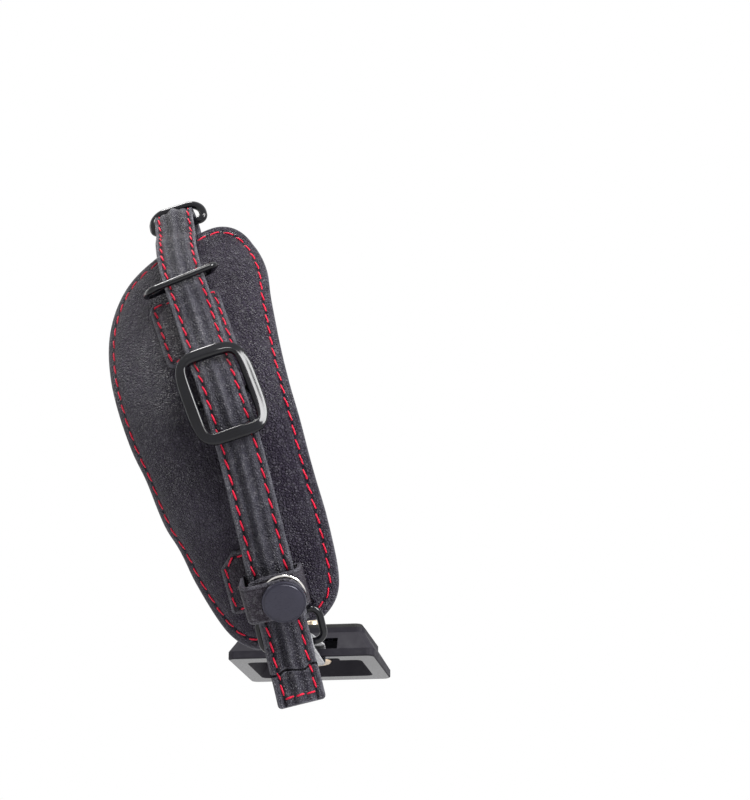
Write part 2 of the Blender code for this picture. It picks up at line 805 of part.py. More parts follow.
def tab_route():
    """Run of the tab round both straps as (across, height, share of the snap's tilt)."""
    under, back, flap = tab_levels()
    side = strap_width(TAB_PLACE) / 2 + TAB_SIDE
    half = TAB_LEATHER / 2
    low = under + half
    mid = back + half
    high = flap + half
    end = SNAP_ACROSS + CAP_RADIUS + TAB_END_MARGIN
    return (
        (-TAB_BACK_REACH, mid, 1.0),
        (side - 2 * TAB_BEND, mid, 1.0),
        (side - TAB_BEND * 0.6, mid - TAB_BEND * 0.4, 0.9),
        (side, mid - TAB_BEND * 1.4, 0.7),
        (side, (low + mid) / 2, 0.4),
        (side, low + TAB_BEND * 1.2, 0.1),
        (side - TAB_BEND * 0.5, low + TAB_BEND * 0.3, 0.0),
        (side - 2 * TAB_BEND, low, 0.0),
        (2 * TAB_BEND - side, low, 0.0),
        (TAB_BEND * 0.5 - side, low + TAB_BEND * 0.3, 0.0),
        (-side, low + TAB_BEND * 1.2, 0.1),
        (-side, (low + high) / 2, 0.4),
        (-side, high - TAB_BEND * 1.4, 0.7),
        (TAB_BEND * 0.6 - side, high - TAB_BEND * 0.4, 0.9),
        (2 * TAB_BEND - side, high, 1.0),
        (SNAP_ACROSS, high, 1.0),
        (end - CAP_RADIUS * 0.5, high, 1.0),
        (end - CAP_RADIUS * 0.2, high, 1.0),
        (end - CAP_RADIUS * 0.03, high, 1.0),
    )


def build_tab(collection):
    """Band round both straps whose right end lies on them and whose left end snaps over it."""
    route = tab_route()
    t = TAB_LEATHER
    _, back, flap = tab_levels()
    radius = CAP_RADIUS + TAB_END_MARGIN
    stations = []
    for k, (a, h, tilted) in enumerate(route):
        before = Vector(route[max(k - 1, 0)][:2])
        after = Vector(route[min(k + 1, len(route) - 1)][:2])
        run = (after - before).normalized()
        rise = Vector((-run.y, run.x))
        start = TAB_START
        stop = TAB_STOP
        if a > SNAP_ACROSS and h > flap:
            reach = math.sqrt(radius ** 2 - (a - SNAP_ACROSS) ** 2)
            start = max(start, SNAP_PLACE - reach)
            stop = min(stop, SNAP_PLACE + reach)
        centre = Vector((a, h))
        ring = []
        for along, level in ((start, -1), (stop, -1), (stop, 1), (start, 1)):
            spot = centre + rise * (level * t / 2)
            ring.append(tab_point(spot.x, along, spot.y, tilted))
        stations.append(ring)
    tab = sweep("snap_tab", stations, LEATHER, collection)
    drill = turned(
        "tab_drill",
        (
            (SHANK_RADIUS + SEAM, flap + t + SEAM),
            (SHANK_RADIUS + SEAM, back - SEAM),
        ),
        None,
        bpy.data.collections[CUTTERS],
        12,
    )
    cut(tab, drill)


def turned(name, profile, finish, collection, sides=28, bore=0.0):
    """Turned body on the snap's axis from an outer profile given top to bottom, as (radius, height)."""
    matrix = snap_matrix()
    bm = bmesh.new()
    outline = [(bore, profile[0][1])] + list(profile) + [(bore, profile[-1][1])]
    verts = [bm.verts.new((r * MM, 0.0, h * MM)) for r, h in outline]
    if bore:
        verts.append(verts[0])
    for before, after in zip(verts, verts[1:]):
        bm.edges.new((before, after))
    mesh = bpy.data.meshes.new(name)
    bm.to_mesh(mesh)
    bm.free()
    made = add_object(name, mesh, finish, collection)
    spin = made.modifiers.new("turn", "SCREW")
    spin.axis = "Z"
    spin.steps = sides
    spin.render_steps = sides
    spin.use_merge_vertices = True
    spin.merge_threshold = 0.00001
    made.matrix_world = matrix
    return made


def snap_matrix():
    """Placement on the snap's axis, with heights counted as those of the tab's runs."""
    centre, forward, side, out = snap_frame()
    _, _, flap = tab_levels()
    made = Matrix((side, -forward, out)).transposed().to_4x4()
    made.translation = (centre - out * flap) * MM
    return made


def build_snap(collection):
    """Cap and socket on the flap, stud and eyelet on the layer below."""
    _, back, flap = tab_levels()
    seat = flap + TAB_LEATHER + SEAM
    dome = [
        (CAP_RADIUS * math.sin(a), seat + CAP_RIM + CAP_DOME * math.cos(a))
        for a in (math.radians(d) for d in (12, 30, 50, 70, 90))
    ]
    turned(
        "snap_cap",
        dome + [(CAP_RADIUS, seat), (SHANK_RADIUS, seat), (SHANK_RADIUS, flap - SEAM - 0.3)],
        CAP_METAL,
        collection,
    )
    socket_top = flap - SEAM
    socket_low = socket_top - SOCKET_HEIGHT
    turned(
        "snap_socket",
        (
            (SOCKET_RADIUS - 0.6, socket_top),
            (SOCKET_RADIUS, socket_top - 0.5),
            (SOCKET_RADIUS, socket_low + 0.4),
            (SOCKET_RADIUS - 0.5, socket_low),
        ),
        CHROME,
        collection,
        bore=STUD_RADIUS + SEAM,
    )
    disc_low = back + TAB_LEATHER + SEAM
    disc_top = disc_low + STUD_DISC
    turned(
        "snap_stud",
        (
            (STUD_RADIUS - 0.5, disc_top + STUD_HEIGHT),
            (STUD_RADIUS, disc_top + STUD_HEIGHT - 0.4),
            (STUD_RADIUS - 0.3, disc_top),
            (STUD_DISC_RADIUS - 0.3, disc_top),
            (STUD_DISC_RADIUS, disc_low + 0.3),
            (STUD_DISC_RADIUS - 0.3, disc_low),
        ),
        CHROME,
        collection,
    )
    turned(
        "snap_eyelet",
        (
            (SHANK_RADIUS, disc_low - SEAM),
            (SHANK_RADIUS, back - SEAM),
            (EYELET_RADIUS, back - SEAM),
            (EYELET_RADIUS, back - SEAM - EYELET_FLANGE + 0.1),
            (EYELET_RADIUS - 0.4, back - SEAM - EYELET_FLANGE + 0.05),
        ),
        BLACK_METAL,
        collection,
    )


def lower_ring_matrix():
    """Placement of the lower ring: Y points from its lower bar to its upper bar."""
    forward, side, out = LINE.frame(UNDER_END)
    hub = lower_ring_centre()
    tilt = Matrix.Rotation(math.radians(LOWER_RING_TILT), 3, side)
    forward = tilt @ forward
    out = tilt @ out
    centre = hub + forward * LOWER_RING_LENGTH / 2
    made = Matrix((side, -forward, out)).transposed().to_4x4()
    made.translation = centre * MM
    return made


def build_lower_ring(collection):
    straight = strap_width(UNDER_END) - 2 * UNDER_NARROWER + 2 * GAP
    outline = rounded_outline(
        straight + 2 * LOWER_RING_CORNER, LOWER_RING_LENGTH, LOWER_RING_CORNER
    )
    wire_loop(
        "lower_ring", outline, LOWER_WIRE, lower_ring_matrix(), BLACK_METAL, collection
    )


def build_webbing(collection):
    """Webbing sewn into a loop: round the lower ring's bar and round the plate's rim bar."""
    ring = lower_ring_matrix()
    on_bar = Vector((WEBBING_SHIFT, -LOWER_RING_LENGTH / 2, 0.0))
    upper = (ring @ (on_bar * MM)) / MM
    lower = rim_bar_centre()
    ends = (
        (upper, ring.col[0].xyz, 90.0, LOWER_WIRE / 2),
        (lower, Vector((1.0, 0.0, 0.0)), -90.0, rim_bar_radius()),
    )
    half = WEBBING_WIDTH / 2
    stations = []
    run = lower - upper
    for centre, side, start, inner in ends:
        away = (run - run.dot(side) * side).normalized()
        normal = away.cross(side)
        low = inner + GAP
        high = low + WEBBING
        for turn in span(start, start + 180.0, 30.0):
            angle = math.radians(turn)
            lean = normal * math.sin(angle) + away * math.cos(angle)
            section = ((-half, low), (half, low), (half, high), (-half, high))
            stations.append([(centre + side * a + lean * b) * MM for a, b in section])
    return sweep("webbing_loop", stations, CLOTH, collection, closed=True)


def plate_bottom():
    return -(SEAT_RUBBER + DECK_HEIGHT + TAPER_HEIGHT + FLANGE_HEIGHT)


def plate_middle():
    return Vector((SCREW_PLACE, 0.0, 0.0))


def rim_bar_radius():
    return math.hypot(RIM_BAR, FLANGE_HEIGHT) / 2


def rim_bar_centre():
    """Middle of the bar between the plate's near edge and its webbing slot."""
    return plate_middle() + Vector((
        RIM_SLOT_SHIFT,
        -PLATE_DEPTH / 2 + RIM_BAR / 2,
        plate_bottom() + FLANGE_HEIGHT / 2,
    ))


def prism(name, levels, finish, collection, corner=PLATE_CORNER, sides=4):
    """Body through rounded rectangles: each level is (length, depth, height)."""
    middle = plate_middle()
    stations = []
    for length, depth, height in levels:
        outline = rounded_outline(length, depth, corner, steps=sides)
        stations.append([(point + middle + Vector((0.0, 0.0, height))) * MM for point in outline])
    return sweep(name, stations, finish, collection)


def plate_turned(name, profile, finish, collection, sides=32, bore=0.0):
    made = turned(name, profile, finish, collection, sides, bore)
    made.matrix_world = Matrix.Translation(plate_middle() * MM)
    return made


def build_plate(collection):
    """Dovetail plate: flange, tapered sides and deck, with a recess for the screw's head."""
    low = plate_bottom()
    deck = -SEAT_RUBBER
    plate = prism(
        "base_plate",
        (
            (PLATE_LENGTH - 2 * PLATE_EDGE, PLATE_DEPTH - 2 * PLATE_EDGE, low),
            (PLATE_LENGTH, PLATE_DEPTH, low + PLATE_EDGE),
            (PLATE_LENGTH, PLATE_DEPTH, low + FLANGE_HEIGHT),
            (DECK_LENGTH, DECK_DEPTH, low + FLANGE_HEIGHT + TAPER_HEIGHT),
            (DECK_LENGTH, DECK_DEPTH, deck),
        ),
        PLASTIC,
        collection,
    )
    cutters = bpy.data.collections[CUTTERS]
    recess = prism(
        "recess_cutter",
        (
            (RECESS_LENGTH, RECESS_DEPTH, low - 1.0),
            (RECESS_LENGTH, RECESS_DEPTH, low),
            (RECESS_LENGTH - 2 * RECESS_CHAMFER, RECESS_DEPTH - 2 * RECESS_CHAMFER, low + RECESS_HEIGHT),
        ),
        None,
        cutters,
    )
    slot = prism(
        "slot_cutter",
        (
            (RIM_SLOT_LENGTH, RIM_SLOT_WIDTH, low - 1.0),
            (RIM_SLOT_LENGTH, RIM_SLOT_WIDTH, low + FLANGE_HEIGHT + RIM_SLOT_WIDTH),
        ),
        None,
        cutters,
        corner=1.0,
    )
    slot.location.x = RIM_SLOT_SHIFT * MM
    slot.location.y = (-PLATE_DEPTH / 2 + RIM_BAR + RIM_SLOT_WIDTH / 2) * MM
    mouth_depth = RIM_BAR + RIM_SLOT_WIDTH + RIM_MOUTH_OVERRUN
    mouth = prism(
        "mouth_cutter",
        (
            (RIM_SLOT_LENGTH, mouth_depth, low + FLANGE_HEIGHT),
            (RIM_SLOT_LENGTH, mouth_depth, low + FLANGE_HEIGHT + RIM_SLOT_WIDTH),
        ),
        None,
        cutters,
        corner=1.0,
    )
    mouth.location.x = RIM_SLOT_SHIFT * MM
    mouth.location.y = (
        -PLATE_DEPTH / 2 + (RIM_BAR + RIM_SLOT_WIDTH - RIM_MOUTH_OVERRUN) / 2
    ) * MM
    bore = plate_turned(
        "screw_cutter",
        ((SCREW_RADIUS + SCREW_RUNNING, 1.0), (SCREW_RADIUS + SCREW_RUNNING, low)),
        None,
        cutters,
        24,
    )
    clip_well = plate_turned(
        "clip_cutter",
        (
            (CLIP_RADIUS + SCREW_RUNNING, 1.0),
            (CLIP_RADIUS + SCREW_RUNNING, deck - CLIP_HEIGHT - SEAM),
        ),
        None,
        cutters,
        24,
    )
    for cutter in (recess, slot, mouth, bore, clip_well):
        cut(plate, cutter)
    seat = prism(
        "seat_pad",
        (
            (DECK_LENGTH - SEAT_MARGIN, DECK_DEPTH - SEAT_MARGIN, deck),
            (DECK_LENGTH - SEAT_MARGIN, DECK_DEPTH - SEAT_MARGIN, -SEAT_EDGE),
            (DECK_LENGTH - SEAT_MARGIN - 2 * SEAT_EDGE, DECK_DEPTH - SEAT_MARGIN - 2 * SEAT_EDGE, 0.0),
        ),
        RUBBER,
        collection,
    )
    cut(seat, bore)


def build_screw(collection):
    """Captive camera screw: stud, neck and a slotted brass head in the plate's recess."""
    low = plate_bottom()
    web = low + RECESS_HEIGHT
    head_top = web - SEAM
    head_low = head_top - SCREW_HEAD
    clip_low = -SEAT_RUBBER - CLIP_HEIGHT - SEAM + 0.15
    screw = plate_turned(
        "camera_screw",
        (
            (SCREW_RADIUS - 0.6, SCREW_STUD),
            (SCREW_RADIUS, SCREW_STUD - 0.6),
            (SCREW_RADIUS, clip_low + CLIP_HEIGHT + 0.15),
            (SCREW_NECK_RADIUS, clip_low + CLIP_HEIGHT + 0.15),
            (SCREW_NECK_RADIUS, head_top),
            (SCREW_HEAD_RADIUS, head_top),
            (SCREW_HEAD_RADIUS, head_low + 0.5),
            (SCREW_HEAD_RADIUS - 0.5, head_low),
        ),
        BRASS,
        collection,
    )
    slot = prism(
        "screw_slot_cutter",
        (
            (SCREW_SLOT, 3 * SCREW_HEAD_RADIUS, head_low - 1.0),
            (SCREW_SLOT, 3 * SCREW_HEAD_RADIUS, head_low + SCREW_SLOT_DEPTH),
        ),
        None,
        bpy.data.collections[CUTTERS],
        corner=0.2,
        sides=1,
    )
    cut(screw, slot)
    plate_turned(
        "screw_clip",
        ((CLIP_RADIUS, clip_low + CLIP_HEIGHT), (CLIP_RADIUS, clip_low)),
        BLACK_METAL,
        collection,
        24,
        bore=SCREW_NECK_RADIUS + 0.15,
    )


def main():
    clear_scene()
    collection = make_collection(COLLECTION)
    cutters = make_collection(CUTTERS)
    cutters.hide_render = True
    build_pad(collection)
    build_patch(
        "upper_patch",
        UPPER_PATCH_TOP,
        UPPER_PATCH_BOTTOM,
        UPPER_PATCH_LEFT,
        UPPER_PATCH_RIGHT,
        0.0,
        collection,
    )
    build_patch(
        "lower_patch",
        LOWER_PATCH_TOP,
        LOWER_PATCH_BOTTOM,
        LOWER_PATCH_LEFT,
        LOWER_PATCH_RIGHT,
        LOWER_PATCH_CHAMFER,
        collection,
    )
    build_long_strap(collection)
    build_under_strap(collection)
    build_top_ring(collection)
    build_keeper(collection)
    build_buckle(collection)
    build_tab(collection)
    build_snap(collection)
    build_lower_ring(collection)
    build_webbing(collection)
    build_plate(collection)
    build_screw(collection)


main()
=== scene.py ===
import math
from bisect import bisect_left, bisect_right

import bmesh
import bpy
from mathutils import Matrix, Vector, kdtree, noise


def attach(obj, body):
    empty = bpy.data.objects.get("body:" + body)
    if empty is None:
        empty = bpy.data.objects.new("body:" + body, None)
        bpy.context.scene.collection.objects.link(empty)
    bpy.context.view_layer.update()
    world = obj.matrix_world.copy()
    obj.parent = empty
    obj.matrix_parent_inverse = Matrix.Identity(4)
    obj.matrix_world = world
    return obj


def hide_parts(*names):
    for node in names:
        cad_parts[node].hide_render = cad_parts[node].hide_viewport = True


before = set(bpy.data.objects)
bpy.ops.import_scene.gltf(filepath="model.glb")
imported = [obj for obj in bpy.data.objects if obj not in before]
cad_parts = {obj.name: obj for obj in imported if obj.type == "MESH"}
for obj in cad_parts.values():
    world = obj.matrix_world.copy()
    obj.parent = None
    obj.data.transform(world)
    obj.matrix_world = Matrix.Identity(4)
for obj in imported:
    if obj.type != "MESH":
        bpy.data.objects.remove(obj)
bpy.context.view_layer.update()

# Lengths are in millimetres and turned into metres by MM, except in materials, lamps and the simulation.
MM = 0.001
STRAP = "strap"

# Camera at the photograph's place, with its angles in degrees
EYE = (145.7, -772.0, -157.9)
AZIMUTH = 8.0
UPWARD = 17.5
LENS = 105.6
SENSOR = 36.0

# The same line, pattern and heights as in the solids
SPINE = (
    (-38.2, -74.0, 138.8), (-34.7, -83.0, 129.3), (-27.5, -101.0, 101.2), (-18.9, -110.0, 77.6),
    (-10.9, -114.0, 56.5), (-4.7, -113.5, 39.2), (0.5, -109.0, 18.3), (4.0, -101.0, 2.3),
    (7.4, -92.0, -15.0), (9.2, -88.0, -26.6), (12.2, -86.0, -39.8),
)
SCREW_PLACE = 14.0
FACING = 8.0
TWISTS = ((14.0, 16.0), (30.0, 8.0), (75.0, 0.0))
WRIST_RADIUS = 44.0
KNUCKLE_RADIUS = 95.0
PAD_PATTERN = (
    (-9.0, 30.5), (3.0, 23.5), (15.0, 19.5), (24.5, 25.5), (29.5, 42.0), (28.5, 62.0), (24.0, 95.0),
    (21.6, 120.0), (21.6, 147.0), (20.0, 168.0), (13.0, 176.5), (5.0, 177.2), (-3.0, 180.8),
    (-11.5, 183.0), (-21.5, 176.0), (-30.0, 158.5), (-36.5, 134.0), (-38.7, 108.0), (-37.5, 80.5),
    (-32.5, 57.5), (-22.0, 40.0),
)
PAD_CENTRE = Vector((-4.0, 104.0, 0.0))
PAD_CROWN = 1.8
PAD_LEATHER = 1.2
PAD_FOAM = 3.0
PAD_LINING = 1.0
SEAM = 0.3
GAP = 0.4
STRAP_FOLD = 14.0
STRAP_TOP_WIDTH = 13.4
STRAP_WIDENING = 2.0
STRAP_TAIL = 202.5
STRAP_THICK = 2.4
RIDGE = 0.8
RETURN_LENGTH = 56.0
FOLD_RADIUS = 3.7
UNDER_LEATHER = 1.6
UNDER_START = 38.0
UNDER_END = 172.0
UNDER_NARROWER = 1.0
UNDER_DRIFT = ((145.0, 0.0), (UNDER_END, 1.5))
UNDER_HEIGHTS = (
    (38.0, 1.8), (48.5, 3.0), (55.5, 3.0), (62.0, 1.8), (87.0, 1.8), (102.0, 0.8), (143.0, 0.8),
    (155.0, 3.3), (172.0, 5.2),
)
STRAP_HEIGHTS = (
    (14.0, 0.4), (24.0, 0.4), (36.0, 3.8), (48.5, 5.0), (55.5, 5.0), (86.85, 3.8), (99.4, 6.6),
    (103.6, 6.6), (116.15, 3.8), (128.15, 2.8), (143.0, 2.8), (155.0, 5.3), (172.0, 7.2), (202.5, 7.2),
)
LOWER_WIRE = 2.4
LOWER_RING_LENGTH = 10.8

# Details that only the render has
CREASE = 191.3
TAIL_CORNER = 1.2
PRESSED = ((57.5, 5.0), (86.9, 5.0), (116.2, 5.0), (163.5, 9.0))
STITCH_ROW = 5.2
END_STITCH_ROW = 2.6
PAD_SEAM_INSET = 3.3
PAD_INSET = 7.0
PAD_SIDES = 220
LINING_SIDES = 160
SIM_VOXEL = 0.0024
SIM_HELD = 0.0045
SIM_STEPS = 20
SIM_PRESSURE = 4.0
SIM_CAP = 0.9


def catmull(points, at, closed=False):
    """Point of a smooth curve through the given points, with `at` counted in spans."""
    count = len(points)
    first = int(math.floor(at))
    if not closed:
        first = min(max(first, 0), count - 2)
    part = at - first
    near = [first + k for k in (-1, 0, 1, 2)]
    near = [k % count if closed else min(max(k, 0), count - 1) for k in near]
    a, b, c, d = (Vector(points[k]) for k in near)
    if not closed and first == 0:
        a = 2 * b - c
    if not closed and first == count - 2:
        d = 2 * c - b
    cubic = (3 * b - a - 3 * c + d) * part ** 3
    return 0.5 * (2 * b + (c - a) * part + (2 * a - 5 * b + 4 * c - d) * part ** 2 + cubic)


def ease(stations, at):
    """Smooth height through (place, height) stations."""
    if at <= stations[0][0]:
        return stations[0][1]
    for (x0, y0), (x1, y1) in zip(stations, stations[1:]):
        if at <= x1:
            share = (at - x0) / (x1 - x0)
            share = share * share * (3 - 2 * share)
            return y0 + (y1 - y0) * share
    return stations[-1][1]


class StrapLine:
    """Spine of the strap, read by arc length."""

    STEPS = 24

    def __init__(self, points):
        spans = (len(points) - 1) * self.STEPS
        start = Vector((SCREW_PLACE, 0.0, 0.0))
        self.points = [start + catmull(points, k / self.STEPS) for k in range(spans + 1)]
        self.lengths = [0.0]
        for before, after in zip(self.points, self.points[1:]):
            self.lengths.append(self.lengths[-1] + (after - before).length)

    def at(self, along):
        high = min(max(bisect_right(self.lengths, along), 1), len(self.lengths) - 1)
        low = high - 1
        share = (along - self.lengths[low]) / (self.lengths[high] - self.lengths[low])
        return self.points[low].lerp(self.points[high], share)

    def frame(self, along, reach=3.0):
        """Directions along the strap, across it and out of the pad."""
        forward = (self.at(along + reach) - self.at(along - reach)).normalized()
        turn = math.radians(FACING)
        facing = Vector((math.cos(turn), math.sin(turn), 0.0))
        across = (facing - facing.dot(forward) * forward).normalized()
        across = Matrix.Rotation(math.radians(ease(TWISTS, along)), 3, forward) @ across
        return forward, across, forward.cross(across)


LINE = StrapLine(SPINE)


def pad_radius(across):
    return WRIST_RADIUS if across < 0 else KNUCKLE_RADIUS


def lean_at(across, along):
    """Outward direction of the arched pad at a place."""
    _, side, out = LINE.frame(along)
    angle = across / pad_radius(across)
    return out * math.cos(angle) + side * math.sin(angle)


def place(across, along, height):
    """Point on the arched pad, `height` above its outer face."""
    out = LINE.frame(along)[2]
    radius = pad_radius(across)
    return LINE.at(along) - out * radius + lean_at(across, along) * (radius + height)


def flat_place(across, along, height):
    """Point of a strap that stays flat across its width."""
    _, side, out = LINE.frame(along)
    return LINE.at(along) + side * across + out * height


def axes(first, second, third, where):
    """Placement whose X, Y and Z point along the three directions."""
    made = Matrix((first, second, third)).transposed().to_4x4()
    made.translation = where
    return made


def local_matrix(across, along, height, turn=0.0):
    """Placement with X across the strap, Y back up it and Z out of the pad."""
    forward, side, out = LINE.frame(along)
    spun = Matrix.Rotation(math.radians(turn), 3, out)
    return axes(spun @ side, -(spun @ forward), out, flat_place(across, along, height))


def strap_width(along):
    share = (along - STRAP_FOLD) / (STRAP_TAIL - STRAP_FOLD)
    return STRAP_TOP_WIDTH + STRAP_WIDENING * share


def spread(start, stop, step):
    """Even places from start to stop, at most a step apart."""
    count = max(1, math.ceil(abs(stop - start) / step))
    return [start + (stop - start) * k / count for k in range(count + 1)]


def circle(sides):
    """Cosine and sine at even steps round a circle."""
    angles = [2 * math.pi * k / sides for k in range(sides)]
    return [(math.cos(angle), math.sin(angle)) for angle in angles]


def bell(x, width):
    return math.exp(-((x / width) ** 2))


def fillet(near, reach, depth):
    """Fall of a face towards its edge, within `reach` of it."""
    return depth * (1 - min(near / reach, 1.0)) ** 2


def waver(x, y, seed, size):
    """Smooth random value from -1 to 1."""
    return noise.noise(Vector((x / size, y / size, seed)))


# Meshes


def linked(name, data):
    made = bpy.data.objects.new(name, data)
    bpy.context.scene.collection.objects.link(made)
    return made


def finish_piece(name, mesh, material, replaces=(), smooth_angle=60.0):
    made = linked(name, mesh)
    mesh.materials.append(material)
    mesh.shade_smooth()
    mesh.set_sharp_from_angle(angle=math.radians(smooth_angle))
    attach(made, STRAP)
    if replaces:
        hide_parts(*replaces)
    return made


def mesh_of(name, verts, faces):
    """Mesh in metres from points, with its faces turned outwards."""
    bm = bmesh.new()
    made = [bm.verts.new(Vector(v) * MM) for v in verts]
    for face in faces:
        bm.faces.new([made[k] for k in face])
    bmesh.ops.recalc_face_normals(bm, faces=bm.faces)
    mesh = bpy.data.meshes.new(name)
    bm.to_mesh(mesh)
    bm.free()
    return mesh


def sweep_data(stations, closed=False, base=0):
    """Points and faces of a body through like rings, capped unless it closes on itself."""
    count = len(stations[0])
    rows = len(stations)
    faces = []
    for r in range(rows if closed else rows - 1):
        here = base + r * count
        there = base + (r + 1) % rows * count
        for k in range(count):
            m = (k + 1) % count
            faces.append((here + k, here + m, there + m, there + k))
    if not closed:
        faces.append([base + k for k in reversed(range(count))])
        faces.append([base + (rows - 1) * count + k for k in range(count)])
    return [point for ring in stations for point in ring], faces


def sweep(name, stations, material, replaces=(), closed=False, smooth_angle=50.0):
    mesh = mesh_of(name, *sweep_data(stations, closed))
    return finish_piece(name, mesh, material, replaces, smooth_angle)


def rounded_outline(width, length, corner, steps=12, low_corner=None):
    """Rounded rectangle about the origin, as a closed list of points."""
    points = []
    for quarter, (sx, sy) in enumerate(((1, 1), (-1, 1), (-1, -1), (1, -1))):
        radius = low_corner if low_corner and sy < 0 else corner
        centre = Vector((sx * (width / 2 - radius), sy * (length / 2 - radius), 0.0))
        for k in range(steps + 1):
            angle = math.radians(90 * quarter + 90 * k / steps)
            points.append(centre + radius * Vector((math.cos(angle), math.sin(angle), 0.0)))
    return points


def wire_loop(name, points, wire, matrix, replaced, sides=24):
    """Closed black wire through flat points."""
    up = Vector((0.0, 0.0, 1.0))
    stations = []
    for k, point in enumerate(points):
        aside = (points[(k + 1) % len(points)] - points[k - 1]).normalized().cross(up)
        stations.append([matrix @ (point + (aside * c + up * s) * wire / 2) for c, s in circle(sides)])
    sweep(name, stations, BLACK_GLOSS, (replaced,), closed=True, smooth_angle=80.0)


def lathe(name, profile, matrix, material, replaced, sides=96):
    """Turned body from a profile of (radius, height), both ends on the axis."""
    stations = []
    for radius, height in profile:
        radius = max(radius, 0.01)
        stations.append([matrix @ Vector((radius * c, radius * s, height)) for c, s in circle(sides)])
    sweep(name, stations, material, (replaced,), smooth_angle=40.0)


# Materials


class Nodes:
    """Node tree that nodes are added to."""

    def __init__(self, tree):
        self.tree = tree

    def put(self, socket, value):
        if isinstance(value, bpy.types.NodeSocket):
            self.tree.links.new(value, socket)
        else:
            socket.default_value = value

    def add(self, kind, inputs=None, **settings):
        made = self.tree.nodes.new(kind)
        for key, value in settings.items():
            setattr(made, key, value)
        for key, value in (inputs or {}).items():
            self.put(made.inputs[key], value)
        return made

    def maths(self, operation, first, second=0.0, third=0.0):
        made = self.add("ShaderNodeMath", {0: first, 1: second, 2: third}, operation=operation)
        return made.outputs[0]

    def spread(self, value, low, high, to_low=0.0, to_high=1.0):
        inputs = {"Value": value, "From Min": low, "From Max": high, "To Min": to_low, "To Max": to_high}
        return self.add("ShaderNodeMapRange", inputs).outputs["Result"]

    def seen_ray(self):
        """One for camera, glossy and transmission rays, else nought."""
        path = self.add("ShaderNodeLightPath")
        either = self.maths("MAXIMUM", path.outputs["Is Camera Ray"], path.outputs["Is Glossy Ray"])
        return self.maths("MAXIMUM", either, path.outputs["Is Transmission Ray"])


class Shade(Nodes):
    """Node tree of one material."""

    def __init__(self, name):
        self.material = bpy.data.materials.new(name)
        self.material.use_nodes = True
        super().__init__(self.material.node_tree)
        self.shader = self.tree.nodes["Principled BSDF"]
        self.spot = self.add("ShaderNodeTexCoord").outputs["Object"]

    def noise(self, scale, detail=2.0, spot=None, rough=0.5):
        inputs = {"Vector": spot or self.spot, "Scale": scale, "Detail": detail, "Roughness": rough}
        return self.add("ShaderNodeTexNoise", inputs).outputs["Fac"]

    def wave(self, spot, scale, distortion, detail, **settings):
        inputs = {"Vector": spot, "Scale": scale, "Distortion": distortion, "Detail": detail}
        return self.add("ShaderNodeTexWave", inputs, **settings).outputs["Fac"]

    def blend(self, share, first, second):
        made = self.add("ShaderNodeMix", data_type="RGBA")
        for index, value in ((0, share), (6, first), (7, second)):
            self.put(made.inputs[index], value)
        return made.outputs[2]

    def mottle(self, tone, dark, light, low=0.3, high=0.7):
        """Colour from dark to light by a tone between low and high."""
        return self.blend(self.spread(tone, low, high), rgb(*dark), rgb(*light))

    def warp(self, scale, amount):
        """Places moved a little at random, so that a pattern loses its regular look."""
        inputs = {"Vector": self.spot, "Scale": scale, "Detail": 1.0}
        moved = self.add("ShaderNodeTexNoise", inputs).outputs["Color"]
        scaled = self.add("ShaderNodeVectorMath", {0: moved, "Scale": amount}, operation="SCALE").outputs[0]
        return self.add("ShaderNodeVectorMath", {0: self.spot, 1: scaled}).outputs[0]

    def edges(self, low, high):
        """Share that grows from low to high pointiness: crests for low < high, else hollows."""
        point = self.add("ShaderNodeNewGeometry").outputs["Pointiness"]
        return self.spread(point, low, high)

    def set(self, **values):
        for key, value in values.items():
            self.put(self.shader.inputs[key.replace("_", " ")], value)

    def bump(self, height, strength, distance, before=None):
        inputs = {"Height": height, "Strength": strength, "Distance": distance}
        if before:
            inputs["Normal"] = before
        return self.add("ShaderNodeBump", inputs).outputs["Normal"]


def rgb(red, green, blue, times=1.0):
    return (red * times, green * times, blue * times, 1.0)


